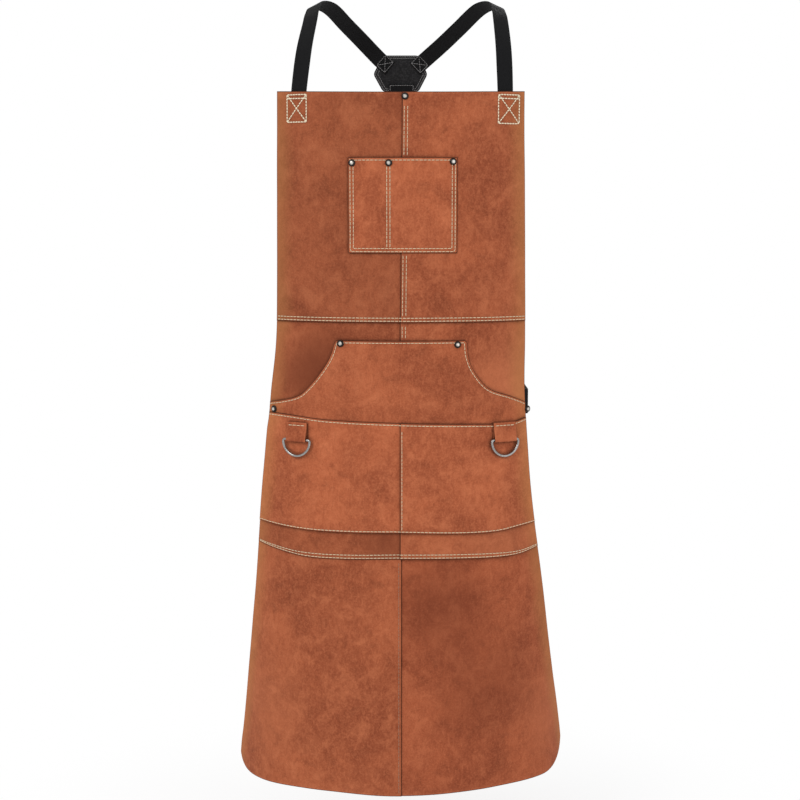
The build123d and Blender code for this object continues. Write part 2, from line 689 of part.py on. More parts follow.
with BuildPart() as belt_socket:
    add(block(SOCKET_MOUTH_X, SOCKET_BACK_X, BUCKLE_HALF_T, BUCKLE_HALF_H))
    fillet(belt_socket.edges().filter_by(Axis.X), 3.0)
    add(block(SOCKET_MOUTH_X - 1, SOCKET_BACK_X - 4, CAVITY_HALF_T, CAVITY_HALF_H), mode=Mode.SUBTRACT)
    add(block(WINDOW_X0, WINDOW_X1, CAVITY_HALF_T, BUCKLE_HALF_H + 1), mode=Mode.SUBTRACT)
    for side in (-1, 1):
        add(block(SOCKET_BACK_X, SOCKET_BAR_X + 3, RAIL_HALF_T, RAIL_HALF_H, side * RAIL_MID))
    with Locations((SOCKET_BAR_X, BELT_STACK_Y, BELT_Z)):
        Cylinder(BAR_R, 2 * RAIL_MID)

belt_socket.part.label = "belt_socket"
export_step(belt_socket.part, "parts/belt_socket.step")

# Plug: body, guide tongue and web bar. The two arms swing in round recesses.
PIVOT_X, PIVOT_Z, ROOT_R, ROOT_CLEAR = -92.0, 14.5, 3.0, 0.05
ARM_HALF_T, ARM_HALF_H = 2.3, 2.0
TONGUE_END_X, TONGUE_HALF_T, TONGUE_HALF_H = -60.0, 2.2, 5.0
RECESS_R = ROOT_R + ROOT_CLEAR

with BuildPart() as belt_plug:
    add(block(PLUG_BACK_X, PLUG_FACE_X, BUCKLE_HALF_T, BUCKLE_HALF_H))
    fillet(belt_plug.edges().filter_by(Axis.X), 3.0)
    add(block(PLUG_FACE_X, TONGUE_END_X, TONGUE_HALF_T, TONGUE_HALF_H))
    for side in (-1, 1):
        add(block(PLUG_BACK_X, PLUG_BAR_X - 3, RAIL_HALF_T, RAIL_HALF_H, side * RAIL_MID))
    with Locations((PLUG_BAR_X, BELT_STACK_Y, BELT_Z)):
        Cylinder(BAR_R, 2 * RAIL_MID)
    for side in (-1, 1):
        with Locations(Plane(origin=(PIVOT_X, BELT_STACK_Y, BELT_Z + side * PIVOT_Z), z_dir=(0, 1, 0))):
            Cylinder(RECESS_R, 4 * BUCKLE_HALF_T, mode=Mode.SUBTRACT)
        mouth = block(PIVOT_X, PLUG_FACE_X + 1, 2 * BUCKLE_HALF_T, RECESS_R, side * PIVOT_Z)
        add(mouth, mode=Mode.SUBTRACT)

belt_plug.part.label = "belt_plug"
export_step(belt_plug.part, "parts/belt_plug.step")

# The arms run from the recess into the socket, and their barbs catch in its windows
ARM_TIP_X, BARB_X0, BARB_X1, BARB_Z = -61.0, -75.5, -64.0, 22.5


def arm_solid(side):
    """Sprung arm on the upper (+1) or lower (-1) side of the plug."""
    with BuildPart() as arm:
        with BuildSketch(Plane.XZ.offset(-BELT_STACK_Y)):
            with Locations((PIVOT_X, BELT_Z + side * PIVOT_Z)):
                Circle(ROOT_R)
            with BuildLine():
                Polyline(
                    (PIVOT_X, BELT_Z + side * (PIVOT_Z - ARM_HALF_H)),
                    (ARM_TIP_X, BELT_Z + side * (PIVOT_Z - ARM_HALF_H)),
                    (ARM_TIP_X, BELT_Z + side * (PIVOT_Z + 1)),
                    (BARB_X1, BELT_Z + side * (BARB_Z - 2)),
                    (BARB_X1 - 3, BELT_Z + side * BARB_Z),
                    (BARB_X0, BELT_Z + side * BARB_Z),
                    (BARB_X0, BELT_Z + side * (PIVOT_Z + ARM_HALF_H)),
                    (PIVOT_X, BELT_Z + side * (PIVOT_Z + ARM_HALF_H)),
                    close=True,
                )
            make_face()
        extrude(amount=ARM_HALF_T, both=True)
    return arm.part


with BuildPart() as plug_arm_upper:
    add(arm_solid(1))

plug_arm_upper.part.label = "plug_arm_upper"
export_step(plug_arm_upper.part, "parts/plug_arm_upper.step")

with BuildPart() as plug_arm_lower:
    add(arm_solid(-1))

plug_arm_lower.part.label = "plug_arm_lower"
export_step(plug_arm_lower.part, "parts/plug_arm_lower.step")


# -------------------------------------------------------------------- sliders
SLIDER_BAR, SLIDER_RAIL, SLIDER_LENGTH, SLIDER_CLEAR = 2.5, 3.5, 26.0, 0.3


def slider_solid(plane, web_width):
    """Slider round two leaves of web: outer bars on one face, a middle bar on the other."""
    stack = WEB + TAIL_STEP
    rail_x = web_width / 2 + SLIDER_CLEAR + SLIDER_RAIL / 2
    bar_z = stack / 2 + SLIDER_CLEAR + SLIDER_BAR / 2
    span = 2 * rail_x + SLIDER_RAIL
    height = 2 * bar_z + SLIDER_BAR
    end_y = (SLIDER_LENGTH - 2 * SLIDER_BAR) / 2
    with BuildPart(plane) as slider:
        with Locations((rail_x, 0, 0), (-rail_x, 0, 0)):
            Box(SLIDER_RAIL, SLIDER_LENGTH, height)
        with Locations((0, end_y, bar_z), (0, -end_y, bar_z)):
            Box(span, 2 * SLIDER_BAR, SLIDER_BAR)
        with Locations((0, 0, -bar_z)):
            Box(span, 2 * SLIDER_BAR, SLIDER_BAR)
    return slider.part


BELT_SLIDER_X, TAIL_SLIDER_Z = 82.0, 735.0

with BuildPart() as belt_slider:
    on_belt = Plane(origin=(BELT_SLIDER_X, BELT_STACK_Y, BELT_Z), x_dir=(0, 0, 1), z_dir=(0, 1, 0))
    add(slider_solid(on_belt, BELT_W))

belt_slider.part.label = "belt_slider"
export_step(belt_slider.part, "parts/belt_slider.step")

with BuildPart() as tail_slider:
    on_tail = Plane(
        origin=(0, TAIL_Y + TAIL_STEP / 2, TAIL_SLIDER_Z), x_dir=(1, 0, 0), z_dir=(0, 1, 0)
    )
    add(slider_solid(on_tail, TAIL_W))

tail_slider.part.label = "tail_slider"
export_step(tail_slider.part, "parts/tail_slider.step")
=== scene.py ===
import bpy
from math import asin, atan2, copysign, cos, exp, hypot, pi, radians, sin, sqrt
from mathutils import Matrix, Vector, noise


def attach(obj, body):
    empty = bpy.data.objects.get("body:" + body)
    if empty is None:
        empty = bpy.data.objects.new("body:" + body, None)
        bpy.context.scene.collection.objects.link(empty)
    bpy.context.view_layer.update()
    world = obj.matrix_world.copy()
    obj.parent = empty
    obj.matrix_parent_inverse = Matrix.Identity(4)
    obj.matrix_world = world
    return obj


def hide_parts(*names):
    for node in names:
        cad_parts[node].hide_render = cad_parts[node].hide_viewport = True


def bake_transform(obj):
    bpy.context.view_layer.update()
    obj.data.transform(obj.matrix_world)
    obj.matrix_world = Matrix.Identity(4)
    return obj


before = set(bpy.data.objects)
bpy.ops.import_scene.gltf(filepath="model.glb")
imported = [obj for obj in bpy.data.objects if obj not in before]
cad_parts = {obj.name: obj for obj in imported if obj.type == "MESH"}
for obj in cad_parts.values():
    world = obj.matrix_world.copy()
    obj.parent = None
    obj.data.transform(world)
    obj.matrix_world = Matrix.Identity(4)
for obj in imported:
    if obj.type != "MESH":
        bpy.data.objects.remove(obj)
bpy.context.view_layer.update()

MM = 0.001

# ------------------------------------------------------------ worn surface
# Every leather layer follows one plan profile: a wide front arc between two
# side arcs. A point is given by s, the arc length from the centre line, and
# z, both in mm, and by its distance outwards from the profile.
FRONT_Y, FRONT_R, SIDE_R = -140.0, 420.0, 202.0
HALF_ANGLE = radians(16.0)
SIDE_X = (FRONT_R - SIDE_R) * sin(HALF_ANGLE)
SIDE_Y = FRONT_Y + FRONT_R - (FRONT_R - SIDE_R) * cos(HALF_ANGLE)
FRONT_S = FRONT_R * HALF_ANGLE
LEATHER, PITCH = 1.4, 1.5
FLARE, FLARE_Z, FLARE_S, FLARE_WIDE = 7.0, 250.0, 150.0, 110.0
BIB_TOP_Z, WAIST_Z, SKIRT_Z, LAP_TOP_Z, LAP_LOW_Z = 1067.0, 729.0, 373.0, 579.0, 411.5
POCKET_TOP_Z = 702.0
RING_X, RING_Z, RING_R = 152.5, 551.0, 2.0


def clamp(value, low=0.0, high=1.0):
    return min(max(value, low), high)


def s_of_x(x):
    """Arc length from the centre line to the front-view position x."""
    a = abs(x)
    if a <= FRONT_R * sin(HALF_ANGLE):
        s = FRONT_R * asin(a / FRONT_R)
    else:
        s = FRONT_S + SIDE_R * (asin(min((a - SIDE_X) / SIDE_R, 1.0)) - HALF_ANGLE)
    return copysign(s, x)


def angle_of_s(s):
    """Angle of the surface normal from the front, in radians."""
    a = abs(s)
    angle = a / FRONT_R if a <= FRONT_S else HALF_ANGLE + (a - FRONT_S) / SIDE_R
    return copysign(angle, s)


CALM_R, CALM_FADE = 30.0, 60.0
SWELL, RIPPLE, FOLD = 1.6, 0.7, 2.4
FOLD_Z, FOLD_START, FOLD_END, FOLD_FADE = 500.0, 120.0, 330.0, 80.0


def wave(s, z):
    """Slow drape of the leather outwards, in mm, the same for every layer.

    It is calm around the rings, and upright folds grow towards the hem.
    """
    calm = 1.0
    for side in (-1, 1):
        far = hypot(s - side * s_of_x(RING_X), z - RING_Z)
        calm *= clamp((far - CALM_R) / CALM_FADE)
    broad = noise.noise(Vector((s * 0.006, z * 0.0035, 1.7)))
    fine = noise.noise(Vector((s * 0.017, z * 0.012, 8.3)))
    low = clamp((FOLD_Z - z) / FOLD_Z)
    fade = min(abs(s) / FOLD_START, 1.0) * clamp((FOLD_END - abs(s)) / FOLD_FADE)
    folds = low * FOLD * sin(s * 0.027 + 0.0021 * z + 0.6) * fade
    return calm * (SWELL * broad + RIPPLE * fine + folds)


def flare(s, z):
    """The skirt's sides turn slightly outwards towards the hem."""
    low = max(1 - z / FLARE_Z, 0.0) ** 2
    aside = clamp((abs(s) - FLARE_S) / FLARE_WIDE)
    return FLARE * low * aside * aside * (3 - 2 * aside)


def surf(s, z, off):
    """Frame point, in metres, off mm outwards from the profile."""
    angle = angle_of_s(s)
    x, y, radius = 0.0, FRONT_Y + FRONT_R, FRONT_R
    if abs(s) > FRONT_S:
        x, y, radius = copysign(SIDE_X, s), SIDE_Y, SIDE_R
    radius += off + wave(s, z) + flare(s, z)
    return Vector((x + radius * sin(angle), y - radius * cos(angle), z)) * MM


def under(s, z, off):
    """Point on the cloth's back, where off grows inwards."""
    return surf(s, z, -off)


def normal_at(s):
    angle = angle_of_s(s)
    return Vector((sin(angle), -cos(angle), 0.0))


def smooth_table(table, s):
    """Interpolation with eased slopes in a table of rows that rise in their first column."""
    if s <= table[0][0]:
        return table[0][1]
    for k in range(len(table) - 1):
        (s0, z0), (s1, z1) = table[k], table[k + 1]
        if s <= s1:
            before, after = table[max(k - 1, 0)], table[min(k + 2, len(table) - 1)]
            m0 = (z1 - before[1]) / max(s1 - before[0], 1e-6)
            m1 = (after[1] - z0) / max(after[0] - s0, 1e-6)
            h = s1 - s0
            u = (s - s0) / h
            return ((2 * u ** 3 - 3 * u ** 2 + 1) * z0 + (u ** 3 - 2 * u ** 2 + u) * h * m0
                    + (3 * u ** 2 - 2 * u ** 3) * z1 + (u ** 3 - u ** 2) * h * m1)
    return table[-1][1]


def along(table):
    """Smooth height along s through a table of (s, z) rows."""
    return lambda s: smooth_table(table, s)


def flat(z):
    return lambda s: z


def at(s):
    return lambda z: s


# Front-view half-widths of the two side edges, as (z, x); the apron sits a little to the left
LEFT_EDGE = ((10, 261.0), (41, 258.0), (70, 254.0), (170, 242.5), (310, 228.0), (450, 215.3),
             (560, 205.2), (583, 201.6), (625, 198.0), (690, 190.5), (755, 187.9), (1067, 184.6))
RIGHT_EDGE = ((20, 262.5), (56, 259.3), (88, 254.6), (168, 241.0), (310, 222.2), (453, 202.3),
              (540, 194.2), (626, 188.6), (700, 188.7), (1067, 184.8))
EDGE_S = 300.0


def edge_s(table, z, off):
    """Arc length at which a layer's outer face, off mm out, reaches the edge's half-width."""
    radius = SIDE_R + off + flare(EDGE_S, z)
    angle = asin(min((smooth_table(table, z) - SIDE_X) / radius, 0.998))
    return FRONT_S + SIDE_R * (angle - HALF_ANGLE)


def left_s(z, off=0.0):
    return -edge_s(LEFT_EDGE, z, off)


def right_s(z, off=0.0):
    return edge_s(RIGHT_EDGE, z, off)


def left_of(off):
    return lambda z: left_s(z, off + LEATHER)


def right_of(off):
    return lambda z: right_s(z, off + LEATHER)


# Heights of the seams that dip or rise along the apron
lap_top = along(((-225, 589.5), (-170, 587.3), (-110, 582.5), (0, 579.0), (110, 576.0), (160, 574.8),
                 (183, 578.3), (206, 585.0)))
lap_low = along(((-235, 418.5), (-155, 412.8), (-80, 411.5), (0, 411.9), (100, 408.9), (150, 409.6),
                 (181, 413.6), (225, 418.0)))
waist_low = along(((-255, 384.0), (-205, 377.0), (-150, 370.0), (-90, 369.4), (0, 371.4), (90, 370.0),
                   (145, 368.7), (190, 370.0), (235, 378.0)))
hem_line = along(((-350, 0.2), (-234, 2.6), (-150, 3.9), (0, 0.6), (108, 4.0), (250, 8.0), (350, 9.5)))
waist_seam = flat(WAIST_Z)

# Distances of the layers outwards from the profile
SKIRT_R, SKIRT_L, WAIST_L, WAIST_R, BIB_L, BIB_R = [PITCH * k for k in (-2, -1, 0, 1, 2, 3)]
POCKET_OFF, LAP_L, LAP_R, CHEST_OFF = [PITCH * k for k in (2, 3, 4, 4)]
# How far panels reach across the centre line: where two meet, and where one lies under another
CENTRE, WAIST_LAP, BIB_LAP = 1.2, 11.0, 13.0


HEM_CORNER_R, HEM_CORNER_L = (90.0, 50.0), (58.0, 32.0)


def hem(s):
    """Hem line with rounded corners, each with its own reach and height."""
    edge = right_s(0, SKIRT_R + LEATHER) if s > 0 else -left_s(0, SKIRT_L + LEATHER)
    reach, height = HEM_CORNER_R if s > 0 else HEM_CORNER_L
    # Just under 1, so that the corner meets the side edge with a finite slope
    over = 0.95 * clamp((abs(s) - (edge - reach)) / reach)
    return hem_line(s) + height * (1 - sqrt(1 - over * over))


def skirt_top(s):
    return waist_low(s) + 20.0


def bib_centre_s(z):
    """The bib's centre seam leans a little to the right as it rises."""
    return -0.7 + 2.8 * (z - WAIST_Z) / (BIB_TOP_Z - WAIST_Z)


def bib_top(s):
    return BIB_TOP_Z + 3.8 * (abs(s) / 192.0) ** 2


# ------------------------------------------------------------- mesh helpers
def mesh_object(name, verts, faces, material, suv=None, edge=None, side=None):
    """Mesh with its surface place, distance to the cut edge and to the apron's side as attributes."""
    mesh = bpy.data.meshes.new(name)
    mesh.from_pydata(verts, [], faces)
    mesh.polygons.foreach_set("use_smooth", [True] * len(mesh.polygons))
    if suv:
        layer = mesh.attributes.new("suv", "FLOAT_VECTOR", "POINT")
        layer.data.foreach_set("vector", [c for p in suv for c in p])
    if edge:
        for key, values in (("edge", edge), ("side", side or [1.0] * len(verts))):
            layer = mesh.attributes.new(key, "FLOAT", "POINT")
            layer.data.foreach_set("value", values)
    mesh.materials.append(material)
    obj = bpy.data.objects.new(name, mesh)
    bpy.context.scene.collection.objects.link(obj)
    mesh.update()
    return obj


def fit(obj, node, body):
    """Put a still mesh in a CAD node's place, on the body that carries it."""
    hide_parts(node)
    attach(obj, body)


def skin(faces, first, rings, wide, flip=False):
    """Quads between successive rings of vertices, and a face over each end."""
    made = []
    for r in range(rings - 1):
        for i in range(wide):
            j = (i + 1) % wide
            a, b = first + r * wide, first + (r + 1) * wide
            made.append((a + i, a + j, b + j, b + i))
    last = first + (rings - 1) * wide
    made.append(tuple(first + i for i in reversed(range(wide))))
    made.append(tuple(last + i for i in range(wide)))
    faces += [tuple(reversed(face)) for face in made] if flip else made


def sheet(columns, rows):
    """Faces of a closed leather sheet: outer grid, inner grid after it, and the rim."""
    count = columns * rows
    faces = []
    for j in range(rows - 1):
        for i in range(columns - 1):
            a = j * columns + i
            quad = (a, a + 1, a + columns + 1, a + columns)
            faces.append(quad)
            faces.append(tuple(count + k for k in reversed(quad)))
    ring = list(range(columns)) + [j * columns + columns - 1 for j in range(1, rows)]
    ring += [(rows - 1) * columns + i for i in range(columns - 2, -1, -1)]
    ring += [j * columns for j in range(rows - 2, 0, -1)]
    for a, b in zip(ring, ring[1:] + ring[:1]):
        faces.append((b, a, count + a, count + b))
    return faces


def spaced(length, step):
    """Parameters 0 to 1 along a side: close rows at both ends, even ones between."""
    rim = [0.0, 0.3, 0.9, 2.2]
    count = max(int((length - 2 * rim[-1]) / step), 1)
    inner = [rim[-1] + (length - 2 * rim[-1]) * i / count for i in range(count + 1)]
    rows = rim[:-1] + inner + [length - r for r in reversed(rim[:-1])]
    return [r / length for r in rows]


def rolled(rim, depth):
    """How far the face of a sheet falls towards its cut edge, rim mm away."""
    return depth * (1 - sqrt(max(1 - (1 - min(rim / 0.9, 1.0)) ** 2, 0.0)))


def resample(pts, step):
    """Points at even distances along a polyline."""
    lengths = [0.0]
    for a, b in zip(pts, pts[1:]):
        lengths.append(lengths[-1] + (b - a).length)
    total = lengths[-1]
    count = max(int(round(total / step)), 1)
    out, k = [], 0
    for i in range(count + 1):
        d = total * i / count
        while k < len(pts) - 2 and lengths[k + 1] < d:
            k += 1
        span = max(lengths[k + 1] - lengths[k], 1e-9)
        out.append(pts[k].lerp(pts[k + 1], (d - lengths[k]) / span))
    return out


def curve_points(points, step):
    """Even points along a smooth curve through points."""
    pts = [Vector(p) for p in points]
    ext = [2 * pts[0] - pts[1]] + pts + [2 * pts[-1] - pts[-2]]
    dense = []
    for i in range(1, len(ext) - 2):
        p0, p1, p2, p3 = ext[i - 1], ext[i], ext[i + 1], ext[i + 2]
        for k in range(24):
            t = k / 24
            dense.append(0.5 * ((2 * p1) + (p2 - p0) * t + (2 * p0 - 5 * p1 + 4 * p2 - p3) * t * t
                                + (3 * p1 - p0 - 3 * p2 + p3) * t ** 3))
    dense.append(pts[-1])
    return resample(dense, step)


BEND_REACH = 95.0
BACK_SHIFT = 0.2


def ride_cloth(obj):
    """Leather and thread that reach near the skirt seam are baked into world space and left unattached; the
    rest is attached, still, to the apron.
    """
    if min(v.co.z for v in obj.data.vertices) < (SKIRT_Z + BEND_REACH) * MM:
        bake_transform(obj)
    else:
        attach(obj, "apron")


def panel(name, node, sides, ends, off, material, step=5.0, bulge=None):
    """Leather panel as a closed mesh with rolled edges.

    sides gives s at a height, ends gives z at an s, low before high in both.
    bulge(s, z) adds a lift of the panel alone.
    """
    (left, right), (bottom, top) = sides, ends
    mid_z = (bottom(0.0) + top(0.0)) / 2
    us = spaced(right(mid_z) - left(mid_z), step)
    vs = spaced(top(0.0) - bottom(0.0), step)
    outer, inner, suv, edge, side = [], [], [], [], []
    for v in vs:
        for u in us:
            # Sides depend on height and ends on s, so the place is found by repetition
            s, z = 0.0, mid_z
            for _ in range(8):
                s = left(z) + (right(z) - left(z)) * u
                z = bottom(s) + (top(s) - bottom(s)) * v
            width = right(z) - left(z)
            height = max(top(s) - bottom(s), 1.0)
            rim = min(u * width, (1 - u) * width, v * height, (1 - v) * height)
            roll = rolled(rim, 0.5)
            lift = bulge(s, z) if bulge else 0.0
            outer.append(surf(s, z, off + lift + LEATHER * (1 - roll)))
            inner.append(surf(s, z, off + lift + LEATHER * roll))
            suv.append((s * MM, z * MM, off * MM))
            edge.append(min(rim, 60.0) * MM)
            side.append(max(min(s - left_s(z), right_s(z) - s), 0.0) * MM)
    back = [(a, b, c + BACK_SHIFT) for a, b, c in suv]
    obj = mesh_object(name, outer + inner, sheet(len(us), len(vs)), material, suv + back, edge + edge,
                      side + side)
    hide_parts(node)
    ride_cloth(obj)


# ---------------------------------------------------------------- materials
class Shader:
    """A node tree under construction, with short ways to add to it."""

    def __init__(self, tree):
        self.tree = tree
        tree.nodes.clear()

    def put(self, socket, value):
        """Link an output to a socket, or set the socket's own value."""
        if isinstance(value, bpy.types.NodeSocket):
            self.tree.links.new(value, socket)
        elif socket.type == "RGBA":
            socket.default_value = (*value, 1.0)
        else:
            socket.default_value = value

    def add(self, kind, out=0, inputs=None, **settings):
        """Add a node with settings and inputs, and return one of its outputs."""
        node = self.tree.nodes.new("ShaderNode" + kind)
        for key, value in settings.items():
            setattr(node, key, value)
        for key, value in (inputs or {}).items():
            self.put(node.inputs[key], value)
        return node.outputs[out]

    def end(self, kind, value):
        self.put(self.tree.nodes.new("ShaderNode" + kind).inputs["Surface"], value)

    def attribute(self, name, out):
        return self.add("Attribute", out, attribute_name=name)

    def noise(self, vector, scale, detail=4.0, rough=0.5, distort=0.0, offset=0.0):
        moved = self.add("Mapping", 0, {"Vector": vector, "Location": (offset, offset * 0.7, offset * 1.3)})
        return self.add("TexNoise", "Fac", {"Vector": moved, "Scale": scale, "Detail": detail,
                                            "Roughness": rough, "Distortion": distort})

    def remap(self, value, a, b, low=0.0, high=1.0):
        return self.add("MapRange", "Result", {"Value": value, "From Min": a, "From Max": b, "To Min": low,
                                               "To Max": high}, interpolation_type="SMOOTHSTEP")

    def mix(self, fac, a, b, mode="MIX"):
        return self.add("Mix", 2, {0: fac, 6: a, 7: b}, data_type="RGBA", blend_type=mode)

    def darken(self, colour, level):
        """Colour times a grey level."""
        return self.mix(1.0, colour, self.add("CombineColor", 0, {0: level, 1: level, 2: level}), "MULTIPLY")

    def maths(self, operation, a, b=0.0):
        return self.add("Math", 0, {0: a, 1: b}, operation=operation)

    def bump(self, height, distance, strength, normal=None):
        inputs = {"Height": height, "Distance": distance, "Strength": strength}
        if normal:
            inputs["Normal"] = normal
        return self.add("Bump", "Normal", inputs)


class Finish(Shader):
    """A material with one principled shader."""

    def __init__(self, name):
        self.material = bpy.data.materials.new(name)
        self.material.use_nodes = True
        super().__init__(self.material.node_tree)

    def made(self, inputs):
        self.end("OutputMaterial", self.add("BsdfPrincipled", 0, inputs))
        return self.material


def suede(name, tone, seed, red=1.0, dark_spots=(), light_spots=()):
    """Split-leather suede: broad mottling, streaks, a fine nap, cut edges with a dark line that is burnished
    colour and painted edge shadow, and painted shade in crevices.

    Each spot, given as (s, z, radius, strength), draws the colour darker or lighter.
    """
    dark = (0.236 * tone * red, 0.0560 * tone, 0.0230 * tone)
    mid = (0.345 * tone * red, 0.0900 * tone, 0.0370 * tone)
    light = (0.480 * tone * red, 0.1480 * tone, 0.0650 * tone)
    straw = (0.42 * tone, 0.168 * tone, 0.058 * tone)
    deep = [c * 0.70 for c in dark]
    burnish_and_edge_shade = (0.045, 0.013, 0.007)
    fin = Finish(name)
    vec = fin.attribute("suv", "Vector")
    tall = fin.add("Mapping", 0, {"Vector": vec, "Scale": (1.0, 0.5, 1.0)})
    broad = fin.noise(vec, 9.0, 3.0, 0.55, 0.4, seed)
    blotch = fin.noise(vec, 34.0, 8.0, 0.62, 0.5, seed + 3)
    streak = fin.noise(tall, 170.0, 6.0, 0.68, 0.6, seed + 4)
    speck = fin.noise(vec, 330.0, 4.0, 0.65, 0.0, seed + 5)
    nap = fin.noise(vec, 1500.0, 3.0, 0.7, 0.0, seed + 7)
    colour = fin.mix(fin.remap(broad, 0.33, 0.67), dark, mid)
    veils = ((blotch, 0.46, 0.72, 0.50, light), (blotch, 0.48, 0.30, 0.45, deep),
             (streak, 0.46, 0.68, 0.30, light), (streak, 0.50, 0.32, 0.26, deep),
             (speck, 0.42, 0.70, 0.34, light))
    for grain, start, full, strength, target in veils:
        colour = fin.mix(fin.remap(grain, start, full, 0.0, strength), colour, target)
    colour = fin.darken(colour, fin.remap(nap, 0.25, 0.75, 0.78, 1.18))
    for spots, target in ((dark_spots, deep), (light_spots, light)):
        for s, z, radius, strength in spots:
            apart = fin.add("VectorMath", "Value", {0: vec, 1: (s * MM, z * MM, 0.0)}, operation="DISTANCE")
            fade = fin.remap(apart, radius * MM, 0.1 * radius * MM, 0.0, strength)
            colour = fin.mix(fade, colour, target)
    ragged = fin.maths("ADD", fin.attribute("side", "Fac"), fin.maths("MULTIPLY", broad, 0.03))
    colour = fin.mix(fin.remap(ragged, 0.055, 0.016, 0.0, 0.55), colour, straw)
    rim = fin.attribute("edge", "Fac")
    colour = fin.mix(fin.remap(rim, 0.0042, 0.0018, 0.0, 0.22), colour, light)
    # A dark line at each cut edge: burnished edge colour, and painted shadow where the edge stands proud of
    # the layer beneath.
    colour = fin.mix(fin.remap(rim, 0.0016, 0.0006, 0.0, 0.88), colour, burnish_and_edge_shade)
    # Painted shade: the colour darkens where nearby surfaces close in, in crevices and under the edges of
    # the layers above.
    contact_shade = fin.add("AmbientOcclusion", "AO", {"Distance": 0.006}, samples=4)
    colour = fin.darken(colour, fin.remap(contact_shade, 0.35, 1.0, 0.30, 1.0))
    rough = None
    reliefs = ((blotch, 0.0020, 0.5), (streak, 0.0007, 0.5), (speck, 0.0007, 0.6), (nap, 0.00025, 0.7))
    for height, distance, strength in reliefs:
        rough = fin.bump(height, distance, strength, rough)
    return fin.made({"Base Color": colour, "Roughness": 0.92, "Specular IOR Level": 0.15, "Normal": rough,
                     "Sheen Weight": 0.10, "Sheen Roughness": 0.45, "Sheen Tint": light})


def plain(name, colour, roughness, scale, vary, depth, metallic=0.0, shine=0.5):
    """Hard material with slight mottling and surface grain."""
    fin = Finish(name)
    grain = fin.noise(fin.add("TexCoord", "Object"), scale, 4.0, 0.6)
    worn = [min(c * (1 + 2.2 * vary) + 0.02 * vary, 1.0) for c in colour]
    matt = fin.remap(grain, 0.3, 0.8, roughness * 0.8, min(roughness * 1.25, 1.0))
    return fin.made({"Base Color": fin.mix(fin.remap(grain, 0.4, 0.75), colour, worn), "Roughness": matt,
                     "Metallic": metallic, "Specular IOR Level": shine,
                     "Normal": fin.bump(grain, depth, 0.5)})


def webbing(name, colour, highlight, pitch=1.15):
    """Woven webbing: ribs along the strap with a twill step across them."""
    fin = Finish(name)
    place = fin.attribute("suv", "Vector")
    u = fin.add("SeparateXYZ", 0, {0: place})
    v = u.node.outputs[1]
    across = fin.maths("MULTIPLY", u, 2 * pi / (pitch * 1.5 * MM))
    lengthwise = fin.maths("MULTIPLY", v, 2 * pi / (pitch * MM))
    rib = fin.maths("SINE", across)
    step = fin.maths("MULTIPLY", fin.maths("MULTIPLY", across, fin.maths("SIGN", rib)), 0.5)
    twill = fin.maths("SINE", fin.maths("ADD", lengthwise, step))
    yarn = fin.maths("MULTIPLY", fin.maths("ABSOLUTE", rib),
                     fin.maths("ADD", fin.maths("MULTIPLY", twill, 0.5), 0.6))
    fuzz = fin.remap(fin.noise(place, 900.0, 3.0, 0.6), 0.3, 0.8, 0.4, 1.1)
    return fin.made({"Base Color": fin.mix(fin.maths("MULTIPLY", yarn, fuzz), colour, highlight),
                     "Roughness": 0.72, "Specular IOR Level": 0.14, "Normal": fin.bump(yarn, 0.0004, 0.8)})


def thread(name, colour):
    """Twisted thread."""
    fin = Finish(name)
    twist = fin.add("TexWave", "Fac", {"Vector": fin.add("TexCoord", "Object"), "Scale": 700.0},
                    wave_type="BANDS", bands_direction="DIAGONAL")
    return fin.made({"Base Color": fin.mix(twist, [c * 0.7 for c in colour], colour), "Roughness": 0.6,
                     "Sheen Weight": 0.3, "Normal": fin.bump(twist, 0.0002, 0.7)})


def rivet_finish(name):
    """Antique rivet: dark patina, with the crown painted bright as a highlight as well as wear."""
    fin = Finish(name)
    grain = fin.noise(fin.add("TexCoord", "Object"), 900.0, 4.0, 0.6)
    height = fin.maths("ADD", fin.attribute("edge", "Fac"), fin.maths("MULTIPLY", grain, 0.2))
    # The bright colour on the crown is a painted highlight as well as wear; the dark colour is patina on the
    # low parts.
    colour = fin.mix(fin.remap(height, 0.96, 1.12), (0.022, 0.018, 0.017), (0.72, 0.68, 0.62))
    return fin.made({"Base Color": colour, "Metallic": 0.9, "Roughness": 0.3,
                     "Normal": fin.bump(grain, 0.0001, 0.5)})


bib_suede_l = suede("suede_bib_left", 0.80, 1.0)
bib_suede_r = suede("suede_bib_right", 0.99, 14.0)
chest_suede = suede("suede_chest", 1.08, 27.0)
# The first two dark spots are painted shade beside the pocket's left hand opening; the third darkens the
# band under the lap towards the centre.
waist_suede_l = suede("suede_waist_left", 0.88, 71.0, dark_spots=(
    (-118.0, 664.0, 90.0, 0.8), (-160.0, 640.0, 60.0, 0.45), (-20.0, 395.0, 60.0, 0.5)))
waist_suede_r = suede("suede_waist_right", 1.0, 64.0, light_spots=(
    (165.0, 640.0, 90.0, 0.55), (150.0, 395.0, 90.0, 0.35)))
pocket_suede = suede("suede_pocket", 1.01, 33.0)
lap_suede_l = suede("suede_lap_left", 1.10, 91.0)
lap_suede_r = suede("suede_lap_right", 1.12, 97.0)
skirt_suede_l = suede("suede_skirt_left", 1.0, 41.0, light_spots=((-230.0, 120.0, 120.0, 0.3),))
skirt_suede_r = suede("suede_skirt_right", 0.90, 55.0, red=1.05,
                      dark_spots=((60.0, 300.0, 120.0, 0.5), (130.0, 170.0, 130.0, 0.4)),
                      light_spots=((270.0, 110.0, 110.0, 0.5),))
tab_suede = suede("suede_tab", 1.08, 83.0)
bright_thread = thread("thread_bright", (0.92, 0.78, 0.56))
cream = thread("thread_cream", (0.80, 0.60, 0.38))
grey_thread = thread("thread_grey", (0.22, 0.22, 0.22))
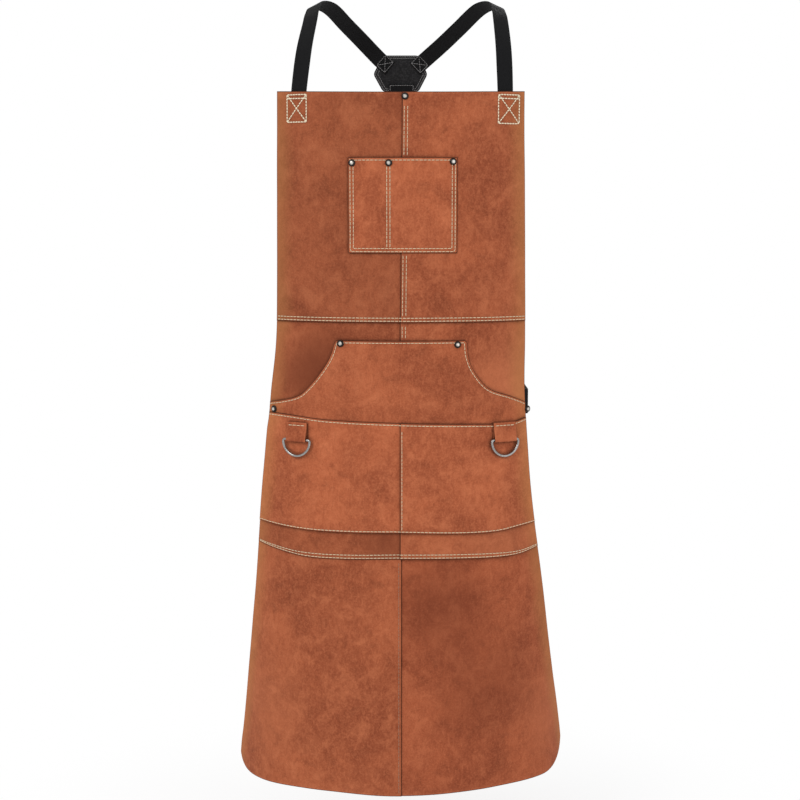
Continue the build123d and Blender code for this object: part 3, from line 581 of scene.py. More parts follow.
dull_thread = thread("thread_dull", (0.42, 0.20, 0.11))
black_web = webbing("webbing_black", (0.0025, 0.0025, 0.003), (0.012, 0.012, 0.013))
black_leather = plain("leather_black", (0.0035, 0.0035, 0.004), roughness=0.60, scale=420.0, vary=0.8,
                      depth=0.0005, shine=0.18)
rivet_metal = rivet_finish("rivet_antique")
ring_metal = plain("ring_steel", (0.27, 0.26, 0.25), roughness=0.2, scale=500.0, vary=0.25,
                   depth=0.00005, metallic=1.0)
plastic = plain("buckle_plastic", (0.008, 0.008, 0.009), roughness=0.42, scale=2200.0, vary=0.4,
                depth=0.00015)


# ------------------------------------------------------------ leather pieces
def panel_rows(rows):
    """Left and right panels, from rows of name, material, layer, sides and ends."""
    for name, material, off, sides, ends in rows:
        part, hand = name.split("_")
        panel(f"{name}_leather", f"{part}_panel_{hand}", sides, ends, off, material)


TOP_LAP = 16.0
waist_ends = (waist_low, flat(WAIST_Z + TOP_LAP))
panel_rows((
    ("skirt_right", skirt_suede_r, SKIRT_R, (at(-WAIST_LAP), right_of(SKIRT_R)), (hem, skirt_top)),
    ("skirt_left", skirt_suede_l, SKIRT_L, (left_of(SKIRT_L), at(CENTRE)), (hem, skirt_top)),
    ("waist_left", waist_suede_l, WAIST_L, (left_of(WAIST_L), at(WAIST_LAP)), waist_ends),
    ("waist_right", waist_suede_r, WAIST_R, (at(-CENTRE), right_of(WAIST_R)), waist_ends),
    ("bib_left", bib_suede_l, BIB_L, (left_of(BIB_L), at(BIB_LAP)), (waist_seam, bib_top)),
    ("bib_right", bib_suede_r, BIB_R, (bib_centre_s, right_of(BIB_R)), (waist_seam, bib_top)),
))

# Chest pocket: the mouth gapes between its rivets
CHEST_L, CHEST_R, CHEST_LOW, CHEST_TOP = -76.5, 82.0, 832.0, 972.0
DIVIDER = -18.0
CHEST_RIVETS = ((-70.5, 964.0), (-17.5, 964.0), (75.5, 966.0))
chest_l, chest_r, div_s = s_of_x(CHEST_L), s_of_x(CHEST_R), s_of_x(DIVIDER)


def chest_gape(s, z):
    """Lift of the chest pocket's two mouths, the wider one opening more."""
    depth = 60.0
    up = max((z - (CHEST_TOP - depth)) / depth, 0.0) ** 2
    start, end, lift = (CHEST_L, DIVIDER, 1.2) if s < DIVIDER else (DIVIDER, CHEST_R, 2.6)
    return lift * up * max(sin(pi * clamp((s - start) / (end - start))), 0.0) ** 2


panel("chest_pocket_leather", "chest_pocket", (at(chest_l), at(chest_r)), (flat(CHEST_LOW), flat(CHEST_TOP)),
      CHEST_OFF, chest_suede, 3.5, chest_gape)


# Kangaroo pocket: its top falls away at both sides into the hand openings
def opening_curve(table):
    """Edge of a hand opening as (s, z), from its (x, z) points."""
    pts = [(s_of_x(x), z, 0.0) for x, z in table]
    return [(p.x, p.y) for p in curve_points(pts, 1.5)]


OPENING = {1: opening_curve(((96.5, 702.0), (99.5, 677.0), (109.0, 654.0), (130.0, 629.0), (163.0, 616.0),
                             (187.0, 605.0), (215.0, 588.0))),
           -1: opening_curve(((96.5, 702.0), (104.5, 677.0), (119.0, 653.0), (135.0, 632.0), (152.0, 617.0),
                              (180.0, 608.3), (215.0, 601.0)))}


def pocket_top(s):
    a = abs(s)
    curve = OPENING[1 if s > 0 else -1]
    if a <= curve[0][0]:
        return POCKET_TOP_Z
    for (s0, z0), (s1, z1) in zip(curve, curve[1:]):
        if a <= s1:
            return z0 + (z1 - z0) * (a - s0) / max(s1 - s0, 1e-6)
    return curve[-1][1]


def pocket_low(s):
    return lap_top(s) - 14.0


def pocket_gape(s, z):
    """The top edge sags open between its rivets, and the hand openings lift."""
    depth, reach = 55.0, 170.0
    lift_s, lift_z, lift_r = 128.0, 622.0, 26.0
    top = max((z - (POCKET_TOP_Z - depth)) / depth, 0.0) ** 2
    mid = cos(pi * min(abs(s) / reach, 1.0)) * 0.5 + 0.5
    side = exp(-((abs(s) - lift_s) / lift_r) ** 2 - ((z - lift_z) / lift_r) ** 2)
    return 1.6 * top * mid + 3.0 * side


panel("kangaroo_leather", "kangaroo_pocket", (left_of(POCKET_OFF), right_of(POCKET_OFF)),
      (pocket_low, pocket_top), POCKET_OFF, pocket_suede, 2.6, pocket_gape)
panel_rows((
    ("lap_left", lap_suede_l, LAP_L, (left_of(LAP_L), at(WAIST_LAP)), (lap_low, lap_top)),
    ("lap_right", lap_suede_r, LAP_R, (at(-CENTRE), right_of(LAP_R)), (lap_low, lap_top)),
))

# ------------------------------------------------------------------ stitches
STITCH_RINGS = ((-0.5, 0.35, -0.55), (-0.40, 0.9, 0.15), (0.0, 1.0, 0.5), (0.40, 0.9, 0.15),
                (0.5, 0.35, -0.55))
STITCH_SIDES = 6


def stitches(name, lines, off, material=cream, length=4.4, gap=1.3, radius=0.62, place=surf):
    """Thread stitches along lines of (s, z) points, sunk at both ends into the leather.

    off(s, z) is the leather's outer surface. place turns (s, z, off) into a point.
    """
    verts, faces, suv = [], [], []
    for line in lines:
        pts = [Vector((p[0], p[1], 0.0)) for p in line]
        total = sum((b - a).length for a, b in zip(pts, pts[1:]))
        count = max(int(total / (length + gap)), 1)
        marks = resample(pts, total / (count * 10))
        for k in range(count):
            a = marks[k * 10]
            b = marks[min(k * 10 + 9, len(marks) - 1)]
            start, end = [place(p.x, p.y, off(p.x, p.y)) for p in (a, b)]
            mid = ((a.x + b.x) / 2, (a.y + b.y) / 2)
            up = (place(*mid, off(*mid) + 5) - place(*mid, off(*mid))).normalized()
            run = end - start
            across = run.normalized().cross(up).normalized()
            centre = (start + end) / 2
            skin(faces, len(verts), len(STITCH_RINGS), STITCH_SIDES, True)
            for t, fat, lift in STITCH_RINGS:
                c = centre + run * t + up * (lift * radius * MM)
                for i in range(STITCH_SIDES):
                    turn = 2 * pi * i / STITCH_SIDES
                    verts.append(c + (across * cos(turn) + up * sin(turn)) * (fat * radius * MM))
                    suv.append((a.x * MM, a.y * MM, 0.0))
    return mesh_object(name, verts, faces, material, suv)


def front_of(seam_s, left, right):
    """Outer surface of two panels that meet at arc length seam_s(z)."""
    return lambda s, z: (right if s > seam_s(z) else left) + LEATHER


def back_of(seam_s, left, right):
    """The same seen from behind, as a depth below the profile."""
    return lambda s, z: -(right if s > seam_s(z) else left)


def chest_surface(s, z):
    return CHEST_OFF + LEATHER + chest_gape(s, z)


def pocket_surface(s, z):
    return POCKET_OFF + LEATHER + pocket_gape(s, z)


bib_surface = front_of(bib_centre_s, BIB_L, BIB_R)
waist_surface = front_of(at(-CENTRE), WAIST_L, WAIST_R)
lap_surface = front_of(at(-CENTRE), LAP_L, LAP_R)
skirt_surface = front_of(at(CENTRE), SKIRT_L, SKIRT_R)
bib_back = back_of(at(BIB_LAP), BIB_L, BIB_R)
waist_back = back_of(at(WAIST_LAP), WAIST_L, WAIST_R)
skirt_back = back_of(at(-WAIST_LAP), SKIRT_L, SKIRT_R)


def side_to_side(seam, rise, inset=3.0, step=6.0):
    """Row of thread from edge to edge, at rise(s) above the seam's height function."""
    at_z = seam(0.0)
    s0, s1 = left_s(at_z, 4.0) + inset, right_s(at_z, 4.0) - inset
    count = max(int((s1 - s0) / step), 1)
    return [(s, seam(s) + rise(s)) for s in (s0 + (s1 - s0) * i / count for i in range(count + 1))]


def upright(s_at, z0, z1, offset=0.0):
    """Row of thread up the cloth at s_at(z) + offset."""
    return [(s_at(z) + offset, z) for z in range(int(z0), int(z1), 6)]


def opening_row(side):
    """Row of thread that follows one hand opening down to the side edge."""
    curve = [Vector((s, z)) for s, z in OPENING[side]]
    stop = (right_s(598) if side > 0 else -left_s(598)) - 4
    row = []
    for p, q in zip(curve, curve[1:]):
        run = (q - p).normalized()
        spot = (p + q) / 2 + Vector((run.y, -run.x)) * 3.4
        if spot.y < POCKET_TOP_Z - 3.0 and spot.x < stop:
            row.append((side * spot.x, spot.y))
    return row


def low_upper(s):
    """The upper of the two lower-seam rows closes on the lower one towards the sides."""
    return 7.0 - 3.2 * clamp((abs(s) - 140.0) / 100.0)


def box_cross(s0, s1, z0, z1):
    """Box with a cross in it, and a second row just inside its top."""
    return [[(s0, z0), (s0, z1), (s1, z1), (s1, z0), (s0, z0)], [(s0, z0), (s1, z1)],
            [(s0, z1), (s1, z0)], [(s0, z1 - 5.5), (s1, z1 - 5.5)]]


bib_centre = []
for offset in (3.1, 8.0):
    bib_centre.append(upright(bib_centre_s, WAIST_Z + 10, CHEST_LOW - 2, offset))
    bib_centre.append(upright(bib_centre_s, CHEST_TOP + 3, BIB_TOP_Z - 14, offset))
chest_rows = []
for inset in (3.2, 7.8):
    low = CHEST_LOW + inset - 1.0
    chest_rows.append([(chest_l + inset, CHEST_TOP - 2), (chest_l + inset, low),
                       (chest_r - inset, low), (chest_r - inset, CHEST_TOP - 2)])
for offset in (-2.3, 2.3):
    chest_rows.append([(div_s + offset, CHEST_TOP - 13), (div_s + offset, CHEST_LOW + 8)])
chest_mouth = [(chest_l + 9, CHEST_TOP - 4), (chest_r - 9, CHEST_TOP - 4)]
right_row, left_row = opening_row(1), opening_row(-1)
top_row = [(left_row[0][0], POCKET_TOP_Z - 3.4), (right_row[0][0], POCKET_TOP_Z - 3.4)]
waist_rows = [side_to_side(waist_seam, flat(rise)) for rise in (2.4, 6.9)]
waist_centre = [upright(at(-CENTRE), POCKET_TOP_Z + 4, WAIST_Z - 3, offset) for offset in (3.2, 8.0)]
lap_top_row, lap_low_row = side_to_side(lap_top, flat(-3.4)), side_to_side(lap_low, flat(2.6))
skirt_rows = [side_to_side(waist_low, flat(2.3)), side_to_side(waist_low, low_upper)]
boxes = box_cross(s_of_x(-166), s_of_x(-137.5), 1024.5, 1064.5)
boxes += box_cross(s_of_x(142), s_of_x(173), 1022.5, 1064.5)
for name, rows, face, options in (
        ("waist", waist_rows, bib_surface, {}),
        ("bib_centre", bib_centre, bib_surface, {"radius": 0.5}),
        ("waist_centre", waist_centre, waist_surface, {"radius": 0.45}),
        ("chest_pocket", chest_rows + [chest_mouth], chest_surface, {"radius": 0.56}),
        ("kangaroo", [left_row, top_row, right_row], pocket_surface, {"radius": 0.56}),
        ("lap_top", [lap_top_row], lap_surface, {}),
        ("lap_low", [lap_low_row], lap_surface, {}),
        ("lap_centre", [upright(at(0.0), LAP_LOW_Z + 6, LAP_TOP_Z - 6, 1.6)], lap_surface, {"radius": 0.5}),
        ("waist_low", skirt_rows, waist_surface, {}),
        ("skirt_centre", [upright(at(CENTRE), 6, SKIRT_Z - 4, -4.2)], skirt_surface,
         {"material": dull_thread, "radius": 0.42}),
        ("strap_boxes", boxes, bib_surface,
         {"material": bright_thread, "length": 3.8, "gap": 0.7, "radius": 0.95}),
        ("back_waist", waist_rows + [lap_top_row, lap_low_row], waist_back, {"place": under}),
        ("back_skirt", skirt_rows, skirt_back, {"place": under}),
        ("back_bib", bib_centre + chest_rows, bib_back, {"radius": 0.5, "place": under})):
    ride_cloth(stitches(f"stitch_{name}", rows, face, **options))


# -------------------------------------------------------------- webbing, patch
def ribbon(name, points, widths, width, thick, step=4.0):
    """Webbing band along points, in mm, with its width direction at each of them."""
    path = curve_points(points, step)
    dirs = curve_points([tuple(Vector(p) * 1000) for p in widths], step)
    count = len(path)
    half_w, half_t = width / 2 - thick / 2, thick / 2
    columns, facets = 8, 5
    section = []
    for face in (1, -1):
        section += [(face * (2 * half_w * i / columns - half_w), face * half_t) for i in range(columns + 1)]
        section += [(face * (half_w + half_t * sin(pi * i / facets)),
                     face * half_t * cos(pi * i / facets)) for i in range(1, facets)]
    verts, faces, suv = [], [], []
    travelled = 0.0
    for k, p in enumerate(path):
        tangent = (path[min(k + 1, count - 1)] - path[max(k - 1, 0)]).normalized()
        j = k * (len(dirs) - 1) / (count - 1)
        a = int(j)
        across = dirs[a].lerp(dirs[min(a + 1, len(dirs) - 1)], j - a)
        across = (across - tangent * across.dot(tangent)).normalized()
        up = tangent.cross(across).normalized()
        if k:
            travelled += (p - path[k - 1]).length
        for u, w in section:
            verts.append((p + across * u + up * w) * MM)
            suv.append((u * MM, travelled * MM, w * MM))
    skin(faces, 0, count, len(section), True)
    return mesh_object(name, verts, faces, black_web, suv)


STRAP_WIDTH, TAIL_WIDTH, BELT_WIDTH = 25.0, 40.0, 38.0
BACK_Y = 129.0
LEFT_STRAP = (
    ((-151.8, -110.6, 1021.0), (0.889, -0.457, 0.0)),
    ((-151.8, -110.6, 1050.0), (0.889, -0.457, 0.0)),
    ((-150.0, -109.0, 1078.0), (0.889, -0.450, 0.0)),
    ((-143.6, -94.0, 1132.0), (0.93, -0.37, 0.03)),
    ((-136.6, -64.0, 1174.0), (0.95, -0.30, 0.06)),
    ((-134.0, -40.0, 1193.0), (0.95, -0.28, 0.12)),
    ((-129.0, -8.0, 1206.5), (0.88, -0.32, 0.34)),
    ((-109.5, 34.0, 1205.5), (0.79, -0.27, 0.55)),
    ((-86.0, 78.0, 1185.0), (0.75, -0.15, 0.65)),
    ((-64.5, 108.0, 1165.5), (0.72, -0.08, 0.70)),
    ((-42.0, 126.5, 1143.5), (0.71, 0.0, 0.71)),
    ((-29.5, BACK_Y, 1131.5), (0.71, 0.0, 0.71)),
    ((-17.5, BACK_Y, 1122.0), (0.71, 0.0, 0.71)),
)
RIGHT_STRAP = (
    ((154.6, -109.2, 1020.0), (0.889, 0.457, 0.0)),
    ((154.6, -109.2, 1050.0), (0.889, 0.457, 0.0)),
    ((154.4, -108.0, 1078.0), (0.889, 0.450, 0.0)),
    ((152.8, -92.0, 1132.0), (0.94, 0.34, -0.02)),
    ((150.2, -62.0, 1174.5), (0.96, 0.27, -0.03)),
    ((148.3, -38.0, 1193.5), (0.95, 0.27, -0.12)),
    ((143.0, -6.0, 1206.5), (0.88, 0.26, -0.38)),
    ((122.0, 36.0, 1204.5), (0.79, 0.20, -0.58)),
    ((92.0, 80.0, 1179.5), (0.72, 0.12, -0.68)),
    ((67.0, 109.0, 1158.0), (0.68, 0.06, -0.73)),
    ((44.0, 126.5, 1139.0), (0.66, 0.0, -0.75)),
    ((33.0, BACK_Y, 1129.5), (0.66, 0.0, -0.75)),
    ((23.0, BACK_Y, 1121.0), (0.66, 0.0, -0.75)),
)
for label, path in (("left", LEFT_STRAP), ("right", RIGHT_STRAP)):
    points, widths = zip(*path)
    fit(ribbon(f"strap_{label}_web", points, widths, STRAP_WIDTH, 2.0), f"shoulder_strap_{label}", "apron")

PATCH_CORNERS = [(-44.5, 1112.5), (-28.8, 1084.5), (28.8, 1084.5), (43.5, 1112.5), (29.0, 1142.5),
                 (-29.0, 1142.5)]
PATCH_CENTRE = Vector((0.0, 1113.0))
PATCH_Y = BACK_Y + 1.15


def hexagon(scale):
    """Closed outline of the patch, scaled about its centre."""
    pts = [PATCH_CENTRE + (Vector(corner) - PATCH_CENTRE) * scale for corner in PATCH_CORNERS]
    return pts + pts[:1]


def patch_mesh():
    """Hexagonal leather patch with rounded corners and a rolled edge."""
    outline = []
    for i, corner in enumerate(PATCH_CORNERS):
        a, b, c = Vector(PATCH_CORNERS[i - 1]), Vector(corner), Vector(PATCH_CORNERS[(i + 1) % 6])
        before, after = (a - b).normalized() * 5, (c - b).normalized() * 5
        outline += [b + before * (1 - t) ** 2 + after * t ** 2 for t in (0.0, 0.25, 0.5, 0.75, 1.0)]
        outline += [(b + after).lerp(c - after, t) for t in (0.25, 0.5, 0.75)]
    face = ((0.3, 0.0), (0.6, 0.0), (0.90, 0.0), (0.975, 0.0), (0.992, 0.15), (1.0, LEATHER / 2))
    rings = face + tuple((scale, LEATHER - drop) for scale, drop in reversed(face[:-1]))
    verts, faces, suv = [], [], []
    for scale, depth in rings:
        for p in outline:
            q = PATCH_CENTRE + (p - PATCH_CENTRE) * scale
            verts.append((q.x * MM, (PATCH_Y + depth) * MM, q.y * MM))
            suv.append((q.x * MM, q.y * MM, 0.0))
    skin(faces, 0, len(rings), len(outline), True)
    return mesh_object("patch_leather", verts, faces, black_leather, suv)


def flat_place(y, side=-1):
    """Point on the flat back of the harness: x and z in mm, off towards the wearer."""
    return lambda x, z, off: Vector((x * MM, (y + side * off) * MM, z * MM))


def strap_end_rows(end, run):
    """Box with a cross in it over a strap end that runs along run."""
    e, d = Vector(end), Vector(run).normalized()
    c = Vector((-d.y, d.x)) * 10.5
    a, b = e + d * 2.0 + c, e + d * 2.0 - c
    far_a, far_b = a + d * 17, b + d * 17
    return [[a, b, far_b, far_a, a], [a, far_b], [b, far_a]]


def harness_thread(name, rows, place):
    """Fine grey thread on the back of the harness."""
    row = stitches(name, rows, lambda x, z: 0.0, grey_thread, length=2.6, gap=0.9, radius=0.42,
                   place=place)
    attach(row, "apron")


fit(patch_mesh(), "back_patch", "apron")
hexagons = [hexagon(1 - inset / 38.0) for inset in (2.6, 6.0)]
harness_thread("stitch_patch_inner", hexagons, flat_place(PATCH_Y))
harness_thread("stitch_patch_outer", hexagons, flat_place(PATCH_Y + LEATHER, 1))
end_rows = strap_end_rows((-17.5, 1122.0), (-0.75, 0.66)) + strap_end_rows((23.0, 1121.0), (0.72, 0.69))
end_rows += [[(-17.0, 1094.5), (20.0, 1094.5)], [(-17.0, 1094.5), (-17.0, 1086.0)],
             [(20.0, 1094.5), (20.0, 1086.0)]]
harness_thread("stitch_strap_ends", end_rows, flat_place(BACK_Y - 1.0))

# Tail strap: patch to waist belt, round the belt and back up to the slider
BELT_Z, BELT_Y, BELT_BACK_Y = 605.0, 140.1, 139.0
TAIL_LOOP_Z, TAIL_LOOP_R = 582.2, 3.4
TAIL = [(129.0, 1097.0), (129.0, 1075.0), (130.6, 1050.0), (134.5, 1012.0)]
TAIL += [(BELT_Y - TAIL_LOOP_R, z) for z in (970.0, 900.0, 800.0, 700.0, 640.0, 590.0)]
for degrees in (30, 60, 90, 120, 150):
    a = radians(degrees)
    TAIL.append((BELT_Y - TAIL_LOOP_R * cos(a), TAIL_LOOP_Z - TAIL_LOOP_R * sin(a)))
TAIL += [(BELT_Y + TAIL_LOOP_R, 590.0), (BELT_Y + TAIL_LOOP_R, 630.0), (142.9, 648.0), (140.2, 668.0),
         (138.9, 686.0), (138.9, 740.0), (138.9, 791.0)]
tail_points = [(1.0, y, z) for y, z in TAIL]
tail = ribbon("tail_web", tail_points, [(1, 0, 0)] * len(TAIL), TAIL_WIDTH, 2.0, 2.5)
fit(tail, "tail_strap", "apron")


# --------------------------------------------------------------- waist belt
def arc(x, y, radius, degrees):
    """Plan points round (x, y), with 0 degrees to the front and 90 to the side."""
    turns = [radians(a) for a in degrees]
    return [(x + radius * sin(a), y - radius * cos(a)) for a in turns]


def belt_points(side, end_x):
    """Plan path of a belt half from its rivet round to the back, at mid-thickness."""
    leave, small_r, big_r, step = 41.0, 5.0, 60.0, 20.0
    pts = arc(SIDE_X, SIDE_Y, SIDE_R - 1.1, (33.0, 35.7, 38.4, leave))
    (x, y), turn = pts[-1], radians(leave)
    pts += arc(x - small_r * sin(turn), y + small_r * cos(turn), small_r, (53, 65, 77, 90))
    side_x = pts[-1][0]
    pts += [(side_x, y) for y in (-40.0, -10.0, 20.0, 50.0, 70.0)]
    pts += arc(side_x - big_r, BELT_BACK_Y - big_r, big_r, range(90, 181, 15))
    back_x = side_x - big_r
    count = max(int((back_x - end_x) / step), 2)
    pts += [(back_x + (end_x - back_x) * i / count, BELT_BACK_Y) for i in range(1, count + 1)]
    return [(side * x, y, BELT_Z) for x, y in pts]


def fold(bar_x, leaf_x):
    """Return leaf: round the buckle bar and back along the belt."""
    out = 1 if leaf_x > bar_x else -1
    turn = ((8.0, 139.0), (2.0, 138.0), (-1.6, 138.3), (-2.6, 140.1), (-1.6, 141.9), (2.0, 142.3),
            (8.0, 141.2))
    pts = [(bar_x + out * x, y) for x, y in turn]
    start, y = pts[-1]
    count = max(int(abs(leaf_x - start) / 20.0), 1)
    pts += [(start + (leaf_x - start) * i / count, y) for i in range(1, count + 1)]
    return [(x, y, BELT_Z) for x, y in pts]


def belt(label, points):
    widths = [(0, 0, 1)] * len(points)
    return ribbon(f"belt_{label}_web", points, widths, BELT_WIDTH, 1.9, 2.5)


SOCKET_BAR, PLUG_BAR = -44.0, -111.0
belt_r = belt("right", belt_points(1, SOCKET_BAR + 10) + fold(SOCKET_BAR, 66.0))
fit(belt_r, "waist_belt_right", "apron")
belt_l = belt("left", belt_points(-1, -(PLUG_BAR - 10)) + fold(PLUG_BAR, PLUG_BAR - 22.0))
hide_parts("waist_belt_left")
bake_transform(belt_l)


# ------------------------------------------------------- ring tabs and rings
TAB_BACK = 5 * PITCH
BAR_OUT = TAB_BACK + LEATHER + RING_R + 0.05
LOOP_R = RING_R + 0.2
TAB_TOP = 577.0


def closed_wire(name, path, axis, radius, sides):
    """Round wire along a closed flat path of points in mm, square to axis."""
    verts, faces = [], []
    for k, p in enumerate(path):
        tangent = (path[(k + 1) % len(path)] - path[k - 1]).normalized()
        other = tangent.cross(axis)
        for i in range(sides):
            turn = 2 * pi * i / sides
            verts.append((p + (axis * cos(turn) + other * sin(turn)) * radius) * MM)
            j = (i + 1) % sides
            a, b = k * sides, (k + 1) % len(path) * sides
            faces.append((a + i, a + j, b + j, b + i))
    return mesh_object(name, verts, faces, ring_metal)


def cloth_frame(side):
    """Point and directions of the cloth under a ring: origin, sideways, outwards."""
    s = s_of_x(side * RING_X)
    out = normal_at(s)
    base = (surf(s, 0.0, 0.0) - out * wave(s, 0.0) * MM) / MM
    return base, Vector((-out.y, out.x, 0.0)), out


def rounded(start, corner, end):
    """Nine points round a corner from start to end."""
    ts = [i / 8 for i in range(9)]
    return [corner + (start - corner) * (1 - t) ** 2 + (end - corner) * t ** 2 for t in ts]


def ring_object(side, label):
    """D-ring: a straight bar on top and a bow that hangs under it."""
    base, across, out = cloth_frame(side)
    centre = base + out * BAR_OUT + Vector((0, 0, RING_Z))
    half, drop, corner, arcs = 23.0, 25.0, 3.2, 48
    arc_r = (half * half + drop * drop) / (2 * drop)
    start = atan2(arc_r - drop, half)
    bow = []
    for k in range(arcs + 1):
        a = start - (pi + 2 * start) * k / arcs
        bow.append(Vector((arc_r * cos(a), arc_r * sin(a) - (drop - arc_r), 0)))
    bow = [p for p in bow if p.y < -corner * 1.1]
    edge, inset = Vector((half, 0, 0)), Vector((half - corner * 1.2, 0, 0))
    pts = rounded(inset, edge, bow[0]) + bow[1:-1] + rounded(bow[-1], -edge, -inset)
    pts += [pts[-1].lerp(pts[0], i / 16) for i in range(1, 16)]
    path = [centre + across * p.x + Vector((0, 0, p.y)) for p in pts]
    ring = closed_wire(f"ring_{label}_wire", path, out, RING_R, 20)
    fit(ring, f"tool_ring_{label}", f"{label}_ring")


def tab_object(side, label, width):
    """Leather strip doubled over the ring's bar, its two ends sewn to the apron."""
    base, across, out = cloth_frame(side)
    back, front = TAB_BACK + LEATHER / 2, TAB_BACK + LEATHER * 1.5 + 0.05
    r = LOOP_R + LEATHER / 2
    line = [(back, TAB_TOP), (back, TAB_TOP - 8)]
    for k in range(17):
        a = radians(188 + 184 * k / 16)
        line.append((BAR_OUT + r * cos(a), RING_Z + r * sin(a)))
    line += [(front, TAB_TOP - 8), (front, TAB_TOP)]
    dense = resample([Vector((u, v, 0)) for u, v in line], 0.6)
    steps = spaced(width, 3.0)
    verts, suv, edge = [], [], []
    for layer in (1, -1):
        travelled = 0.0
        for k, p in enumerate(dense):
            run = (dense[min(k + 1, len(dense) - 1)] - dense[max(k - 1, 0)]).normalized()
            # Right of the running direction lies outside the fold
            face = Vector((run.y, -run.x, 0))
            if k:
                travelled += (p - dense[k - 1]).length
            for u in steps:
                rim = min(u, 1 - u) * width
                q = p + face * (layer * LEATHER * (0.5 - rolled(rim, 0.45)))
                pos = base + across * ((u - 0.5) * width) + out * q.x + Vector((0, 0, q.y))
                verts.append(pos * MM)
                suv.append((side * 0.5 + u * width * MM, travelled * MM, 0.0))
                edge.append((rim + 1.2) * MM)
    faces = sheet(len(steps), len(dense))
    tab = mesh_object(f"tab_{label}_leather", verts, faces, tab_suede, suv, edge)
    fit(tab, f"ring_tab_{label}", "apron")

    def place(u, v, off):
        return (base + across * u + out * (TAB_BACK + 2 * LEATHER + 0.1 + off) + Vector((0, 0, v))) * MM

    # A short row of thread under the lap seam holds both leaves
    half = width / 2 - 3
    row = [(-half, TAB_TOP - 4.5), (half, TAB_TOP - 4.5)]
    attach(stitches(f"stitch_tab_{label}", [row], lambda u, v: 0.0, place=place), "apron")


for side, label, width in ((-1, "left", 34.0), (1, "right", 38.0)):
    ring_object(side, label)
    tab_object(side, label, width)


# --------------------------------------------------------------------- rivets
LATHE_SIDES = 28


def lathe(verts, faces, profile, centre, axis, sides=LATHE_SIDES):
    """Add a turned shape: (radius, height) rows about an axis, closed at both ends."""
    side_dir = axis.orthogonal().normalized()
    other = axis.cross(side_dir)
    skin(faces, len(verts), len(profile), sides)
    for radius, height in profile:
        for i in range(sides):
            turn = 2 * pi * i / sides
            spoke = side_dir * cos(turn) + other * sin(turn)
            verts.append((centre + axis * height + spoke * radius) * MM)


CAP_R, CAP_H, CAP_RIM, STUD_R = 5.15, 2.6, 0.7, 1.45
CAP_PROFILE = [(CAP_R - 0.5, 0.0), (CAP_R, 0.25), (CAP_R, CAP_RIM)]
for degrees in (12, 24, 36, 48, 60, 70, 78, 85):
    a = radians(degrees)
    CAP_PROFILE.append((CAP_R * cos(a) ** 0.9, CAP_RIM + (CAP_H - CAP_RIM) * sin(a)))
BURR_PROFILE = ((5.0, 0.0), (5.2, 0.3), (5.0, 0.8), (3.2, 1.0), (2.2, 1.35), (1.0, 1.5))
# Each rivet: place, the layers it joins, from the outermost to the innermost, and the outer one's lift
RIVETS = [((6.0, 1060.5), BIB_R, BIB_L, None)]
RIVETS += [(spot, CHEST_OFF, BIB_L if spot[0] < 0 else BIB_R, chest_gape) for spot in CHEST_RIVETS]
RIVETS += [(spot, POCKET_OFF, inner, pocket_gape) for spot, inner in (
    ((-89.0, 697.5), WAIST_L), ((83.5, 696.0), WAIST_R), ((-190.0, 594.0), -2.1), ((190.0, 594.0), -2.1))]
cap_verts, cap_faces, stud_verts, stud_faces = [], [], [], []
for (x, z), outer, inner_off, gape in RIVETS:
    s = s_of_x(x)
    axis = normal_at(s)
    head = surf(s, z, outer + LEATHER + (gape(s, z) if gape else 0.0)) / MM
    foot = surf(s, z, inner_off) / MM
    lathe(cap_verts, cap_faces, CAP_PROFILE, head, axis)
    lathe(stud_verts, stud_faces, BURR_PROFILE, foot, -axis)
    lathe(stud_verts, stud_faces, [(STUD_R, -0.2), (STUD_R, (head - foot).length + 0.5)], foot, axis, 12)
crown = [height / CAP_H for _ in RIVETS for _, height in CAP_PROFILE for _ in range(LATHE_SIDES)]
caps = mesh_object("rivet_cap_metal", cap_verts, cap_faces, rivet_metal, None, crown)
fit(caps, "rivet_caps", "apron")
studs = mesh_object("rivet_stud_metal", stud_verts, stud_faces, rivet_metal)
fit(studs, "rivet_studs", "apron")


# ---------------------------------------------------------- buckle and sliders
BELT_LINE = Vector((0.0, BELT_Y, BELT_Z))
# Rows of a rounded box from bottom to top, as latitudes, with the widest row once for each half
BOX_ROWS = [(-90 + 30 * j, -1) for j in range(4)] + [(30 * j, 1) for j in range(4)]
BOX_QUARTERS = ((1, 1), (-1, 1), (-1, -1), (1, -1))


def bevelled(verts, faces, origin, box, bevel):
    """Add a box, given by (x0, x1, y0, y1, z0, z1) in mm from origin, with rounded edges."""
    x0, x1, y0, y1, z0, z1 = box
    centre = origin + Vector(((x0 + x1) / 2, (y0 + y1) / 2, (z0 + z1) / 2))
    half = Vector((abs(x1 - x0) / 2, abs(y1 - y0) / 2, abs(z1 - z0) / 2))
    b = min(bevel, min(half) * 0.8)
    core = half - Vector((b, b, b))
    skin(faces, len(verts), len(BOX_ROWS), 4 * len(BOX_QUARTERS))
    for latitude, up in BOX_ROWS:
        lat = radians(latitude)
        for quarter, (right, back) in enumerate(BOX_QUARTERS):
            for step in range(4):
                lon = radians(90 * quarter + 30 * step)
                ball = Vector((cos(lat) * cos(lon), cos(lat) * sin(lon), sin(lat)))
                corner = Vector((right * core.x, back * core.y, up * core.z))
                verts.append((centre + corner + ball * b) * MM)


def plastic_part(name, node, body, verts, faces, crease=38.0):
    """Plastic piece whose edges sharper than crease degrees stay crisp."""
    obj = mesh_object(name, verts, faces, plastic)
    obj.data.set_sharp_from_angle(angle=radians(crease))
    fit(obj, node, body)


